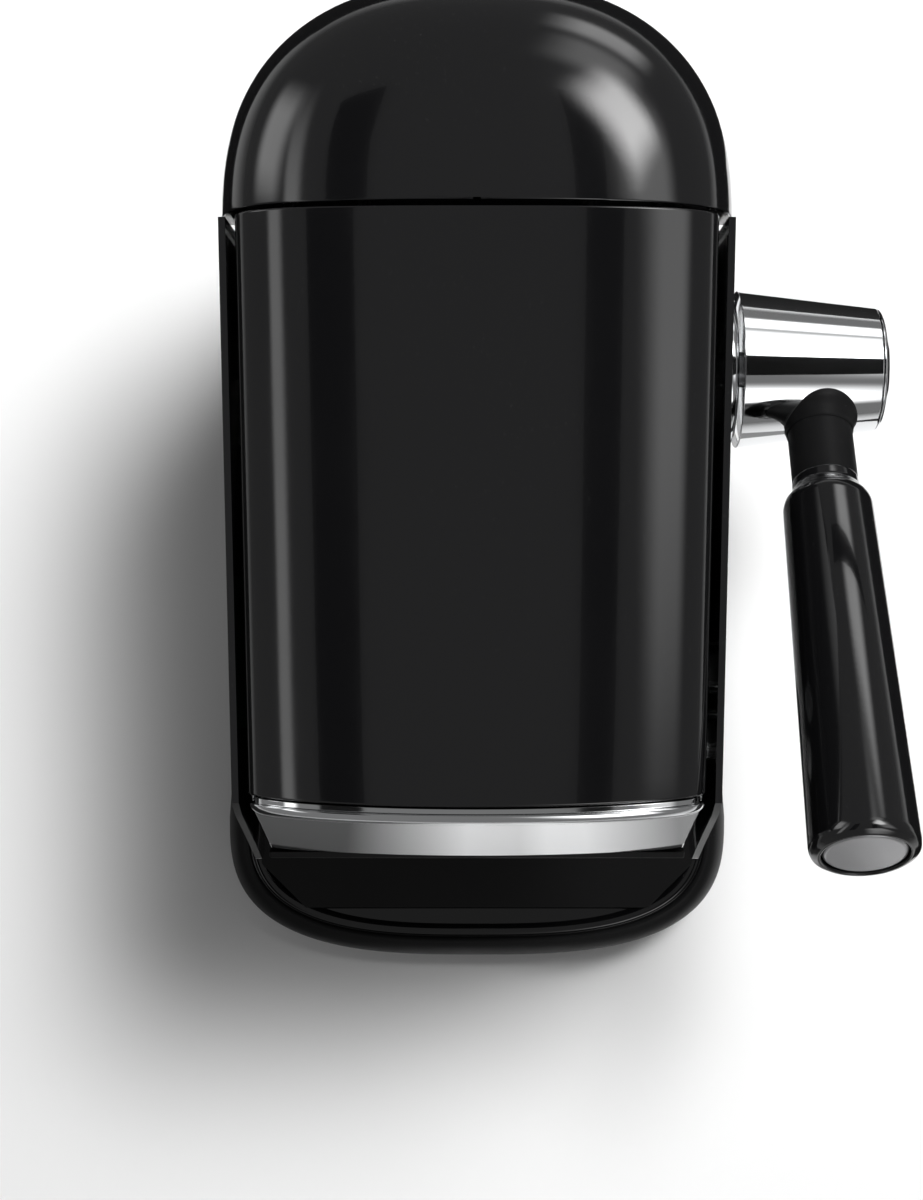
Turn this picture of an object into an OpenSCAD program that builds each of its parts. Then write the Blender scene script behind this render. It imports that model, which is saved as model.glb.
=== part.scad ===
// Pod coffee machine with a side lever, a sliding head and a rear water tank.
// Millimetres, +Z up, front towards -Y, lever on the +X side.
// The origin is on the table, under the middle of the whole machine, lever included.

/* [Overall] */
// Width of the base at its widest
base_w = 206; // [185:1:250]
// Depth from the front of the base to the back of the dome
body_depth = 331; // [320:1:400]
// Height from the table to the crown of the top
body_h = 328; // [322:1:400]

/* [Top] */
// Width across the top edges of the side panels at the seam
top_w = 144; // [135:1:175]
// How much narrower each side is at the front of the hood
top_taper = 2.5; // [0:0.5:4]
// Height of the crown above the top edges of the side panels
shoulder_drop = 20; // [12:1:26]
// How much lower the crown is at the front of the hood
top_slope = 13; // [0:1:16]
// Length of the dome behind the seam
dome_len = 70; // [60:1:90]
// Gap between the hood and the dome
seam_gap = 1.4; // [0.8:0.1:3]
// Gap on each side between the hood and the side panels
hood_gap = 1; // [1:0.1:2]
// Wall of the hood and the dome
cover_wall = 3; // [2:0.5:4]

/* [Base] */
// Distance from the front of the base to the front of the hood
foot_reach = 92; // [80:1:110]
// Half width of the base below the seam
rear_half = 88; // [80:1:105]
// Distance from the front of the base to its widest place
widest_setback = 57.5; // [50:0.5:70]
// Height of the drip tray's top
tray_top_z = 45; // [40:1:60]
// Top of the low plinth that the drip tray slides on
plinth_z = 20; // [16:1:24]
// Distance that the base's rounded shoulder turns in
shoulder_in = 9.5; // [6:0.5:14]

/* [Column and head] */
// Height of the cup bay between the tray and the head
bay_h = 160; // [120:1:170]
// Distance from the hood's front edge back to the column
column_setback = 28.5; // [20:0.5:40]
// Distance that the nose leans out at its lower edge
nose_rake = 24; // [10:1:30]
// Height of the nose's lower edge above the head's floor
chin_h = 21; // [18:1:30]
// Wall of the side panels
panel_wall = 2; // [1.6:0.1:4]
// Wall of the inner plastic parts
inner_wall = 2.5; // [1.5:0.1:3]

/* [Lever] */
// Distance from the seam forward to the lever's axis
lever_setback = 33; // [28:1:40]
// Height of the lever's axis
lever_z = 190; // [180:1:210]
// Angle of the lever above level when the head is closed
lever_angle = 33; // [10:1:45]
// Distance from the lever's axis to the end of the grip
lever_len = 182; // [150:1:220]
// Distance of the grip's centre line from the machine's mid-plane
lever_x = 114.5; // [112:0.5:125]
// Inner end of the chrome hub
hub_in_x = 88; // [86:0.5:95]
// Outer end of the chrome hub
hub_out_x = 138; // [130:0.5:150]
// Radius of the hub at its inner end
hub_in_r = 26.7; // [22:0.1:30]
// Radius of the hub at its outer end
hub_out_r = 20.7; // [16:0.1:24]
// Radius of the lever's neck
neck_r = 10.75; // [8:0.25:13]
// Radius of the grip where it starts
grip_start_r = 14.5; // [12:0.25:18]
// Radius of the grip at its end
grip_end_r = 16.8; // [13:0.1:20]
// Radius of the lever's shaft
shaft_r = 6; // [5:0.25:8]
// Radial running clearance of shafts and pins
running_gap = 0.05; // [0.02:0.01:0.1]

/* [Brewing] */
// Radius of the crank from the lever's axis to its pin
crank_r = 34; // [28:0.5:36]
// Half of the lever's travel in degrees
half_throw = 39; // [30:1:42]
// Radius of the crank pin
crank_pin_r = 3.5; // [3:0.25:4]
// Clearance on each side of the crank pin in the carriage's fork
fork_gap = 0.9; // [0.8:0.1:1.5]
// Outer radius of the capsule cage
cage_r = 26; // [24:0.5:28]
// Radius of the capsule's rim
capsule_r = 18.5; // [17:0.5:20]
// Length of the capsule
capsule_len = 29; // [26:1:32]
// Radius of the hot water feed tube
feed_r = 4; // [3:0.25:5]

/* [Trays and tank] */
// Inner half width of the used capsule container's well
container_half = 40; // [34:1:46]
// Height of the used capsule container
container_h = 126; // [100:1:130]
// Length of the used capsule container
container_len = 77; // [70:1:80]
// Number of slots in the drip grid
grid_slots = 11; // [7:2:15]
// Wall of the water tank
tank_wall = 2.5; // [2:0.1:4]

/* [Buttons, feet and fittings] */
// Radius of the brew buttons
button_r = 7; // [5:0.5:9]
// Travel of the brew buttons
button_travel = 2.5; // [1.5:0.5:4]
// Distance between the two brew buttons
button_pitch = 21; // [18:1:26]
// Radius of the rubber feet
foot_r = 11; // [8:0.5:14]
// Height of the rubber feet
foot_h = 3; // [2:0.5:6]
// Radius of the mains cord's hole in its gland
gland_r = 4; // [3:0.25:5]

/* [Hidden] */
$fn = 64;
loose = 0.3;
slide_gap = 0.5;

// Places along Y, front to back
front_y = -body_depth / 2;
back_y = body_depth / 2;
seam_y = back_y - dome_len;
hood_rear_y = seam_y - seam_gap / 2;
dome_front_y = seam_y + seam_gap / 2;
hood_front_y = front_y + foot_reach;
column_y = hood_front_y + column_setback;
nose_low_y = hood_front_y - 2 - nose_rake;
widest_y = front_y + widest_setback;
spout_y = hood_front_y - 13;
lever_y = seam_y - lever_setback;
bulkhead_y = seam_y - 2;
tray_rear_y = column_y - 12;

// Heights
pan_top_z = foot_h + 5;
head_floor_z = tray_top_z + bay_h;
chin_z = head_floor_z + chin_h;
deck_z = body_h - 48;
brew_z = deck_z - 34;
flare_top_z = body_h - 38;
lid_rim_z = body_h - 44;
rail_z = deck_z + 3;

// The machine's mid-plane stands left of the middle of the whole, because of the lever
mid_x = -(hub_out_x - base_w / 2) / 2;

// Drive: the crank pin hangs behind the shaft when closed and ahead of it when open
head_travel = 2 * crank_r * sin(half_throw);
pin_y = lever_y + crank_r * sin(half_throw);
pin_z = lever_z - crank_r * cos(half_throw);
pin_low_z = lever_z - crank_r;

// Planes of the drive, each side of the mid-plane
yoke_in_x = 31;
yoke_t = 4;
crank_in_x = 38;
crank_t = 4;
frame_in_x = 44;
frame_t = 3;
fork_half = crank_pin_r + fork_gap;

// Brewing chamber
cage_len = 35;
plate_front_y = bulkhead_y - 9.5;
cage_rear_y = plate_front_y - 2;
cage_front_y = cage_rear_y - cage_len;
feed_end_y = cage_front_y - 62;
gland_rear_y = feed_end_y + 7;
gland_front_y = feed_end_y - head_travel - 4;

// Outlines -------------------------------------------------------------------

// Points of a superellipse with exponent n, from one angle to another
function superellipse(a, b, n, from, to, steps) = [
    for (i = [0:steps])
        let (t = from + (to - from) * i / steps)
        [a * sign(cos(t)) * pow(abs(cos(t)), 2 / n), b * sign(sin(t)) * pow(abs(sin(t)), 2 / n)]
];

// Points of an arc
function arc(centre, r, from, to, steps = 8) = [
    for (i = [0:steps])
        let (t = from + (to - from) * i / steps)
        centre + r * [cos(t), sin(t)]
];

// How far a place is from the seam (0) to the front of the hood (1)
function along(y) = (seam_y - y) / (seam_y - hood_front_y);

// Half width over the side panels' top edges, and the height of those edges
function top_half(y) = top_w / 2 - top_taper * along(y);
function edge_z(y) = body_h - shoulder_drop - top_slope * along(y);

// Half width of the base along its straight sides
function foot_half(y) = base_w / 2 - (base_w / 2 - rear_half) * (y - widest_y) / (seam_y - widest_y);

// Half width over the side panels, which flare out towards the base
function panel_half(y, z) =
    let (flare = max(0, (flare_top_z - z) / (flare_top_z - tray_top_z)))
    top_half(y) + (foot_half(y) - shoulder_in - top_half(y)) * pow(flare, 3);

// Outline of the base: a round front, tapering sides and a rounder back
function base_front(inset) = [
    for (p = superellipse(base_w / 2 - inset, widest_setback - inset, 2.9, 180, 360, 32))
        p + [0, widest_y]
];
function base_back(inset) = [
    for (p = superellipse(rear_half - inset, dome_len - 1.5 - inset, 2.4, 0, 180, 24))
        p + [0, seam_y]
];
function base_outline(inset) = concat(base_front(inset), base_back(inset));

// Straight end of the outline where the base is divided at y, from left to right
function base_cut(inset, y) = [[inset - foot_half(y), y], [foot_half(y) - inset, y]];

// An outline raised to height z
function raised(outline, z) = [for (p = outline) [p[0], p[1], z]];

// How far the base's upper part stands inside the edge of its plinth
plinth_step = 0.3;

// Rounded shoulder of the base, as pairs of height and inset
base_shoulder = [
    for (i = [0:5])
        let (t = 90 * i / 5)
        [plinth_z + 7 + (tray_top_z - plinth_z - 7) * sin(t), shoulder_in * (1 - cos(t))]
];

// A skin through rings of points that share one count and one winding
module loft(rings) {
    n = len(rings[0]);
    m = len(rings);
    sides = [
        for (i = [0:m - 2])
            for (j = [0:n - 1])
                let (a = i * n + j, b = i * n + (j + 1) % n)
                each [[a, b + n, b], [a, a + n, b + n]]
    ];
    first = [for (j = [0:n - 1]) j];
    last = [for (j = [n - 1:-1:0]) (m - 1) * n + j];
    polyhedron([for (r = rings) each r], concat(sides, [first, last]));
}

// A profile drawn in Y and Z, extruded across the machine from x0 to x1
module across(x0, x1) {
    translate([x0, 0, 0])
        rotate([90, 0, 90])
            linear_extrude(x1 - x0)
                children();
}

// A profile drawn in X and Z, extruded from y0 to y1
module lengthwise(y0, y1) {
    translate([0, y1, 0])
        rotate([90, 0, 0])
            linear_extrude(y1 - y0)
                children();
}

// A cylinder along X
module x_cylinder(x0, x1, y, z, r) {
    translate([x0, y, z])
        rotate([0, 90, 0])
            cylinder(h = x1 - x0, r = r);
}

// A cylinder along Y
module y_cylinder(y0, y1, x, z, r, turn = 0) {
    translate([x, y1, z])
        rotate([90, turn, 0])
            cylinder(h = y1 - y0, r = r);
}

// A block from one corner to the opposite one
module block(low, high) {
    translate(low)
        cube(high - low);
}

// A copy on each side of the mid-plane
module both_sides() {
    children();
    mirror([1, 0, 0])
        children();
}

// Base -----------------------------------------------------------------------

foot_places = [[72, front_y + 48], [-72, front_y + 48], [60, seam_y + 16], [-60, seam_y + 16]];
screw_places = [[84, widest_y + 6], [-84, widest_y + 6], [74, seam_y - 4], [-74, seam_y - 4]];
screw_r = 1.75;
screw_head_r = 3.75;
screw_head_h = 2;
boss_r = 5;

// Mains cord gland, at the back on the left
gland_x = -40;
gland_out_y = seam_y + dome_len - 3;
gland_len = 14;
// Turn of the gland's hole about its own axis, which keeps its start off the shell's edges
gland_turn = 37;

module rubber_feet() {
    color("#1c1c1c")
        for (p = foot_places)
            translate(p)
                cylinder(h = foot_h, r = foot_r);
}

module base_pan() {
    color("#202020")
        difference() {
            translate([0, 0, foot_h])
                linear_extrude(pan_top_z - foot_h)
                    polygon(base_outline(4));
            for (p = screw_places)
                translate([p[0], p[1], foot_h - 1]) {
                    cylinder(h = screw_head_h + 1, r = screw_head_r);
                    cylinder(h = 20, r = screw_r);
                }
        }
}

module base_screws() {
    color("silver")
        for (p = screw_places)
            translate([p[0], p[1], foot_h])
                difference() {
                    union() {
                        cylinder(h = screw_head_h, r = screw_head_r);
                        cylinder(h = plinth_z - foot_h - 4, r = screw_r);
                    }
                    translate([0, 0, -1])
                        cylinder(h = 2, r = 1.5, $fn = 6);
                }
}

// Deck openings: hoses from the tank and to the flow meter
socket_y = seam_y + 32;
meter_y = lever_y + 8;
hose_r = 3;

module base_shell() {
    color("#0c0c0c")
        difference() {
            union() {
                difference() {
                    union() {
                        translate([0, 0, pan_top_z])
                            linear_extrude(plinth_z - pan_top_z)
                                polygon(base_outline(0));
                        loft([for (s = concat([[plinth_z - 5, 0]], base_shoulder))
                            let (inset = s[1] + plinth_step)
                            raised(concat(base_cut(inset, tray_rear_y), base_back(inset)), s[0])]);
                    }
                    translate([0, 0, pan_top_z - 1])
                        linear_extrude(plinth_z - pan_top_z - 2)
                            polygon(base_outline(3));
                    intersection() {
                        translate([0, 0, pan_top_z - 1])
                            linear_extrude(tray_top_z - 2 - pan_top_z)
                                polygon(base_outline(shoulder_in + 2));
                        block([-base_w, tray_rear_y + 3, 0], [base_w, back_y, tray_top_z]);
                    }
                }
                block([-container_half - 6, tray_rear_y + 1, plinth_z - 3],
                    [container_half + 6, tray_rear_y + container_len + 24, tray_top_z - 1]);
                for (p = screw_places)
                    translate([p[0], p[1], pan_top_z])
                        cylinder(h = plinth_z - pan_top_z - 1, r = boss_r);
            }
            block([-container_half - 3, tray_rear_y - 1, plinth_z],
                [container_half + 3, tray_rear_y + container_len + 21, tray_top_z + 1]);
            for (p = screw_places)
                translate([p[0], p[1], 0])
                    cylinder(h = plinth_z - 3, r = screw_r);
            translate([0, socket_y, plinth_z])
                cylinder(h = 40, r = hose_r + 3);
            translate([0, meter_y, tray_top_z - 4])
                cylinder(h = 10, r = hose_r + 1);
            y_cylinder(seam_y + 39, back_y + 1, gland_x, plinth_z + 5, gland_r + 4, gland_turn);
            y_cylinder(seam_y + 40, gland_out_y - gland_len, gland_x, plinth_z + 5, gland_r + 6,
                gland_turn);
        }
}

// Bush that the mains cord leaves through
module cord_gland() {
    color("#151515")
        difference() {
            union() {
                y_cylinder(gland_out_y - gland_len, gland_out_y, gland_x, plinth_z + 5, gland_r + 4);
                y_cylinder(gland_out_y - gland_len - 2, gland_out_y - gland_len, gland_x, plinth_z + 5,
                    gland_r + 6);
            }
            y_cylinder(0, back_y + 1, gland_x, plinth_z + 5, gland_r);
        }
}

// Side panels, head and column ---------------------------------------------

floor_fillet = 22;
foot_fillet = 12;
chin_r = 17;

// The C-shaped side view, drawn in Y and Z
module side_outline() {
    polygon(concat(
        [[hood_rear_y, tray_top_z], [hood_rear_y, body_h], [hood_front_y - 1.5, body_h],
         [hood_front_y - 2, edge_z(hood_front_y)]],
        arc([nose_low_y + chin_r, head_floor_z + chin_r + 2], chin_r, 165, 262),
        arc([column_y - floor_fillet, head_floor_z - floor_fillet], floor_fillet, 90, 0),
        arc([column_y - foot_fillet, tray_top_z + foot_fillet], foot_fillet, 0, -90)
    ));
}

// Places of the side panels' rings from front to back, and heights up each ring
ring_ys = [for (i = [0:6]) nose_low_y - 4 + (hood_rear_y - nose_low_y + 5) * i / 6];
panel_steps = 14;
function panel_z(y, i) = tray_top_z - 1 + (edge_z(y) - tray_top_z + 1) * i / panel_steps;

// Line up one side panel at y, moved in from its outer face by inset
function panel_line(y, inset) = [
    for (i = [0:panel_steps])
        let (z = panel_z(y, i))
        [panel_half(y, z) - inset, y, z]
];
function turned(line) = [for (i = [len(line) - 1:-1:0]) line[i]];
function other_side(line) = [for (p = line) [-p[0], p[1], p[2]]];

button_z = deck_z - 30;
button_ys = [hood_front_y + 16, hood_front_y + 16 + button_pitch];

module side_panel() {
    intersection() {
        loft([for (y = ring_ys) concat(panel_line(y, panel_wall), turned(panel_line(y, 0)))]);
        across(0, base_w)
            side_outline();
    }
}

module left_side_panel() {
    color("#0a0a0a")
        mirror([1, 0, 0])
            side_panel();
}

module right_side_panel() {
    color("#0a0a0a")
        difference() {
            side_panel();
            x_cylinder(0, base_w, lever_y, lever_z, hub_in_r + 0.6);
            for (y = button_ys)
                x_cylinder(0, base_w, y, button_z, button_r + 1.5);
        }
}

// The space between the side panels
module interior() {
    loft([for (y = ring_ys)
        let (line = panel_line(y, panel_wall + loose))
        concat(other_side(line), turned(line))]);
}

module head_floor() {
    color("#181818")
        difference() {
            intersection() {
                interior();
                across(-base_w, base_w)
                    difference() {
                        side_outline();
                        translate([inner_wall, inner_wall])
                            side_outline();
                    }
                block([-base_w, nose_low_y - 10, head_floor_z - 30],
                    [base_w, column_y - 0.5, chin_z - slide_gap]);
            }
            translate([0, spout_y, head_floor_z - 10])
                cylinder(h = 40, r = 9);
        }
}

module bay_panel() {
    color("#141414")
        difference() {
            intersection() {
                interior();
                block([-base_w, column_y, tray_top_z], [base_w, column_y + inner_wall, head_floor_z + 4]);
            }
            block([-container_half - 1, column_y - 5, 0],
                [container_half + 1, column_y + 5, plinth_z + container_h + 6]);
        }
}

module rear_bulkhead() {
    color("#181818")
        intersection() {
            interior();
            block([-base_w, bulkhead_y, tray_top_z], [base_w, hood_rear_y, deck_z + 18]);
        }
}

// Fixed deck under the hood, with the slot that capsules drop through
slot_mid_y = (cage_rear_y - head_travel + plate_front_y) / 2;
slot_half_y = capsule_len / 2 + 2.5;
slot_half_x = capsule_r + 2;
module capsule_deck() {
    color("#1a1a1a")
        difference() {
            intersection() {
                interior();
                block([-base_w, hood_front_y + 5, deck_z], [base_w, bulkhead_y, rail_z]);
            }
            block([-slot_half_x, slot_mid_y - slot_half_y, deck_z - 1],
                [slot_half_x, slot_mid_y + slot_half_y, rail_z + 1]);
            for (side = [-1, 1])
                translate([side * (yoke_in_x + yoke_t / 2), 0, deck_z - 1])
                    translate([-yoke_t / 2 - slide_gap, hood_front_y + 8, 0])
                        cube([yoke_t + 2 * slide_gap, bulkhead_y - hood_front_y - 9, 10]);
        }
}

rail_out_x = top_w / 2 - 12;
rail_in_x = rail_out_x - 7;
rail_h = 6;
module head_rails() {
    color("silver")
        both_sides()
            block([rail_in_x, hood_front_y + 12, rail_z], [rail_out_x, bulkhead_y - 2, rail_z + rail_h]);
}

// Head: hood, nose and capsule carriage ------------------------------------

// Arch over the top at y, from left to right, moved in from the outer surface by inset
function arch(y, inset, steps) =
    let (half = top_half(y) - panel_wall - hood_gap - inset)
    [for (p = superellipse(half, shoulder_drop - inset, 2.8, 180, 0, steps))
        [p[0], y, edge_z(y) + p[1]]];

// Solid under the arch between two places, moved in by inset, with a short straight skirt
hood_skirt = 5;
module hood_solid(y0, y1, inset, drop) {
    loft([for (i = [0:3])
        let (ring = arch(y0 + (y1 - y0) * i / 3, inset, 28))
        concat([ring[0] - [0, 0, drop]], ring, [ring[28] - [0, 0, drop]])]);
}

module hood() {
    color("#0a0a0a")
        difference() {
            hood_solid(hood_front_y, hood_rear_y, 0, hood_skirt);
            hood_solid(hood_front_y - 1, hood_rear_y + 1, cover_wall, hood_skirt + 1);
        }
}

// Convex strip that closes the front of the hood
lip_steps = [[0.2, 1.4], [1.9, 1.4], [2.2, 0], [3.8, 0.5], [4.8, 1.8], [5.4, 4]];
module nose_lip() {
    color("silver")
        loft([for (k = [5:-1:0])
            let (y = hood_front_y, ring = arch(y, lip_steps[k][1] + 0.3, 28))
            [for (p = concat([ring[0] - [0, 0, hood_skirt]], ring, [ring[28] - [0, 0, hood_skirt]]))
                [p[0], y - lip_steps[k][0], p[2]]]]);
}

nose_half = top_half(hood_front_y) - panel_wall - hood_gap;
nose_t = 3.5;
module nose_plate() {
    top = edge_z(hood_front_y) - hood_skirt;
    color("silver")
        across(-nose_half, nose_half)
            polygon([
                [hood_front_y - 4, top - 0.2], [nose_low_y + 1, chin_z + 1.5], [nose_low_y + 2.2, chin_z],
                [nose_low_y + nose_t + 1, chin_z], [hood_front_y, top - 8], [hood_front_y, top - 0.2]
            ]);
}

// Shoes that carry the hood along the rails
module hood_shoes() {
    shoe_y0 = hood_front_y + 60;
    shoe_y1 = bulkhead_y - 8;
    color("#e8e8e0")
        both_sides()
            difference() {
                block([rail_in_x - 3, shoe_y0, rail_z + 1], [rail_out_x + 3, shoe_y1, rail_z + rail_h + 4]);
                block([rail_in_x - 0.2, shoe_y0 - 1, rail_z], [rail_out_x + 0.2, shoe_y1 + 1, rail_z + rail_h + 0.2]);
            }
}

// Carriage: a bridge under the hood and two legs whose forks take the crank pins
leg_front_y = pin_y - fork_half - 13;
leg_rear_y = pin_y + fork_half + 3.6;
beam_front_y = cage_front_y - 4;
bridge_z = rail_z + rail_h + 4.2;
module head_carriage() {
    color("#8a8d90") {
        both_sides() {
            difference() {
                across(yoke_in_x, yoke_in_x + yoke_t)
                    polygon([
                        [beam_front_y, bridge_z], [beam_front_y, brew_z - 12], [leg_front_y, brew_z - 30],
                        [leg_front_y, pin_low_z - 5], [leg_rear_y, pin_low_z - 5], [leg_rear_y, bridge_z]
                    ]);
                block([yoke_in_x - 1, pin_y - fork_half, pin_low_z - 6],
                    [yoke_in_x + yoke_t + 1, pin_y + fork_half, pin_z + crank_pin_r + 4]);
            }
        }
        block([-rail_out_x - 3, beam_front_y, bridge_z], [rail_out_x + 3, beam_front_y + 22, bridge_z + 3]);
        both_sides()
            block([yoke_in_x - 1, beam_front_y + 22, bridge_z],
                [rail_out_x + 3, bulkhead_y - 8, bridge_z + 3]);
    }
}

module capsule_cage() {
    color("#b9bcc0") {
        translate([0, cage_rear_y, brew_z])
            rotate([90, 0, 0])
                rotate_extrude()
                    polygon([
                        [capsule_r + 0.8, 0], [cage_r, 0], [cage_r, 8], [cage_r - 3, 12],
                        [cage_r - 5, cage_len], [feed_r, cage_len], [feed_r, cage_len - 4],
                        [12, cage_len - 4], [capsule_r - 3, 6], [capsule_r + 0.8, 4]
                    ]);
        both_sides()
            block([cage_r - 0.6, cage_rear_y - 8, brew_z - 8], [yoke_in_x, cage_rear_y, brew_z + 8]);
    }
}

module brew_seal() {
    color("#7a2a20")
        translate([0, plate_front_y - loose, brew_z])
            rotate([90, 0, 0])
                rotate_extrude()
                    translate([capsule_r + 1.5, 0])
                        square([4, plate_front_y - loose - cage_rear_y]);
}

module feed_tube() {
    color("#c9a24a")
        difference() {
            y_cylinder(feed_end_y, cage_front_y + 4, 0, brew_z, feed_r);
            y_cylinder(feed_end_y - 1, cage_front_y + 5, 0, brew_z, feed_r - 1.2);
        }
}

module cage_needles() {
    color("silver")
        for (a = [90, 210, 330])
            translate([7 * cos(a), cage_front_y + 4, brew_z + 7 * sin(a)])
                rotate([-90, 0, 0])
                    cylinder(h = 6, r1 = 1.4, r2 = 0.2);
}

// Brewing parts that stay still ----------------------------------------------

module brew_frame() {
    color("#9a9da0")
        both_sides()
            difference() {
                block([frame_in_x, seam_y - 82, lever_z - 24], [frame_in_x + frame_t, bulkhead_y, deck_z]);
                x_cylinder(0, base_w, lever_y, lever_z, shaft_r + 2.5);
            }
}

module shaft_bushes() {
    color("#b08a4a")
        both_sides()
            difference() {
                union() {
                    x_cylinder(frame_in_x, frame_in_x + frame_t + 4, lever_y, lever_z, shaft_r + 2.5);
                    x_cylinder(frame_in_x + frame_t, frame_in_x + frame_t + 2, lever_y, lever_z, shaft_r + 5);
                }
                x_cylinder(0, base_w, lever_y, lever_z, shaft_r + running_gap);
            }
}

// Plate that the capsule is pressed against, with its outlet port
port_x = 25.5;
port_z = brew_z - 20;
module extraction_plate() {
    color("#a8abae")
        difference() {
            block([-yoke_in_x + 1.5, plate_front_y, brew_z - 27], [yoke_in_x - 1.5, bulkhead_y, brew_z + 27]);
            y_cylinder(plate_front_y - 1, plate_front_y + 2, 0, brew_z, capsule_r - 2);
            y_cylinder(plate_front_y - 1, plate_front_y + 5, port_x, port_z, hose_r - 0.8);
        }
}

// A route with its corners cut, each pass rounder than the last
function rounded(route, passes) = passes == 0 ? route : rounded(concat(
    [route[0]],
    [for (i = [0:len(route) - 2])
        each [0.75 * route[i] + 0.25 * route[i + 1], 0.25 * route[i] + 0.75 * route[i + 1]]],
    [route[len(route) - 1]]
), passes - 1);

function unit(v) = v / norm(v);

// A hose or pipe along a route
module pipe(route, r) {
    path = rounded(route, 2);
    last = len(path) - 1;
    loft([for (i = [0:last])
        let (
            t = unit(path[min(i + 1, last)] - path[max(i - 1, 0)]),
            n = unit(cross(t, [0.91, 0.35, 0.22])),
            b = cross(t, n)
        )
        [for (k = [0:9]) path[i] + r * (cos(36 * k) * n + sin(36 * k) * b)]]);
}

// Coffee runs down from the extraction plate to the spout
module coffee_pipe() {
    color("#2a2a2a")
        pipe([[port_x, plate_front_y, port_z], [port_x, column_y - 4, port_z - 8],
            [0, spout_y, head_floor_z + 10]], hose_r - 0.8);
}

module coffee_spout() {
    color("silver")
        translate([0, spout_y, 0])
            difference() {
                union() {
                    translate([0, 0, head_floor_z - 16])
                        cylinder(h = 22, r = 8.7);
                    translate([0, 0, head_floor_z - 9])
                        cylinder(h = 8, r = 12);
                    for (side = [-1, 1])
                        translate([side * 7, 0, head_floor_z - 20])
                            cylinder(h = 12, r = 4);
                }
                translate([0, 0, head_floor_z - 4])
                    cylinder(h = 20, r = 6);
                for (side = [-1, 1])
                    translate([side * 7, 0, head_floor_z - 21])
                        cylinder(h = 15, r = 2);
            }
}

// Sloping chute that guides used capsules forward into their container
chute_half = capsule_r + 4;
chute_top_z = lever_z + 12;
chute_low_z = plinth_z + container_h + 12;
module capsule_chute() {
    color("#2a2a2a") {
        across(-chute_half, chute_half)
            polygon([
                [bulkhead_y, chute_top_z], [tray_rear_y + container_len + 14, chute_low_z],
                [tray_rear_y + container_len + 14, chute_low_z - inner_wall], [bulkhead_y, chute_top_z - 3]
            ]);
        both_sides()
            across(chute_half, chute_half + 2)
                polygon([
                    [bulkhead_y, chute_top_z + 4], [lever_y - 28, chute_top_z + 4],
                    [tray_rear_y + 26, chute_low_z + 14], [tray_rear_y + 26, chute_low_z - inner_wall],
                    [tray_rear_y + container_len + 14, chute_low_z - inner_wall], [bulkhead_y, chute_top_z - 3]
                ]);
    }
}

// Sleeve that the feed tube slides in, on a post from the head's floor
module feed_gland() {
    color("#3a3a3a")
        difference() {
            union() {
                y_cylinder(gland_front_y - 3, gland_rear_y, 0, brew_z, feed_r + 4);
                block([-5, gland_front_y, head_floor_z + inner_wall], [5, gland_front_y + 14, brew_z]);
            }
            y_cylinder(gland_front_y, gland_rear_y + 1, 0, brew_z, feed_r + running_gap);
        }
}

// Heater, pump and flow meter stand in the column
heater_x = -44;
pump_x = 44;
works_top_z = pin_low_z - crank_pin_r - 26;
module thermoblock() {
    color("#b4b7ba")
        difference() {
            block([heater_x - 21, lever_y - 16, tray_top_z], [heater_x + 21, bulkhead_y - 3, works_top_z]);
            for (k = [1:6])
                block([heater_x - 22, lever_y - 17, tray_top_z + k * 11],
                    [heater_x - 15, bulkhead_y, tray_top_z + k * 11 + 5]);
        }
}

pump_r = 20;
module pump() {
    color("#5a5c60")
        translate([pump_x, lever_y + 6, 0]) {
            translate([0, 0, tray_top_z + 6])
                cylinder(h = works_top_z - tray_top_z - 14, r = pump_r);
            translate([0, 0, works_top_z - 8])
                cylinder(h = 8, r = 8);
        }
}

module pump_mounts() {
    color("#222222")
        translate([pump_x, lever_y + 6, tray_top_z])
            difference() {
                cylinder(h = 6, r = pump_r);
                translate([0, 0, -1])
                    cylinder(h = 8, r = 9);
            }
}

module flow_meter() {
    color("#d8d8d0")
        translate([0, meter_y, 0]) {
            translate([0, 0, tray_top_z])
                cylinder(h = 14, r = 15);
            translate([0, 0, tray_top_z - 12])
                cylinder(h = 12, r = hose_r + 0.9);
        }
}

module cold_hose() {
    color("#c8ccd0")
        pipe([[0, socket_y, tray_top_z - 6], [0, socket_y, tray_top_z - 9], [0, socket_y - 4, plinth_z + 7],
            [0, meter_y + 6, plinth_z + 7], [0, meter_y, tray_top_z - 15], [0, meter_y, tray_top_z - 12]],
            hose_r);
}

module pressure_hose() {
    color("#b8b8b0")
        pipe([[pump_x, lever_y + 6, works_top_z], [pump_x, lever_y + 6, works_top_z + 8],
            [pump_x - 10, lever_y + 12, works_top_z + 9], [heater_x + 20, lever_y + 12, works_top_z + 9],
            [heater_x + 12, lever_y + 8, works_top_z + 8], [heater_x + 12, lever_y + 8, works_top_z]], 2.5);
}

module hot_hose() {
    color("#c0b090")
        pipe([[heater_x - 15, lever_y, works_top_z], [heater_x - 15, lever_y, works_top_z + 8],
            [heater_x - 15, lever_y - 6, lever_z],
            [heater_x - 15, gland_front_y + 30, brew_z - 8], [heater_x + 14, gland_front_y + 6, brew_z],
            [-feed_r - 4, gland_front_y + 6, brew_z]], 2.5);
}

module control_board() {
    color("#1f5a34") {
        block([-66, gland_front_y + 4, head_floor_z + 6], [-8, gland_front_y + 54, head_floor_z + 7.6]);
        for (k = [0:3])
            block([-60 + 13 * k, gland_front_y + 14, head_floor_z + 7.6],
                [-52 + 13 * k, gland_front_y + 26 + 4 * k, head_floor_z + 13]);
    }
}

// Lever ----------------------------------------------------------------------

// Places a child's Z axis along the lever, from the lever's axis
module along_lever(r) {
    translate([lever_x, lever_y, lever_z])
        rotate([90 - lever_angle, 0, 0])
            translate([0, 0, r])
                children();
}

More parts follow.
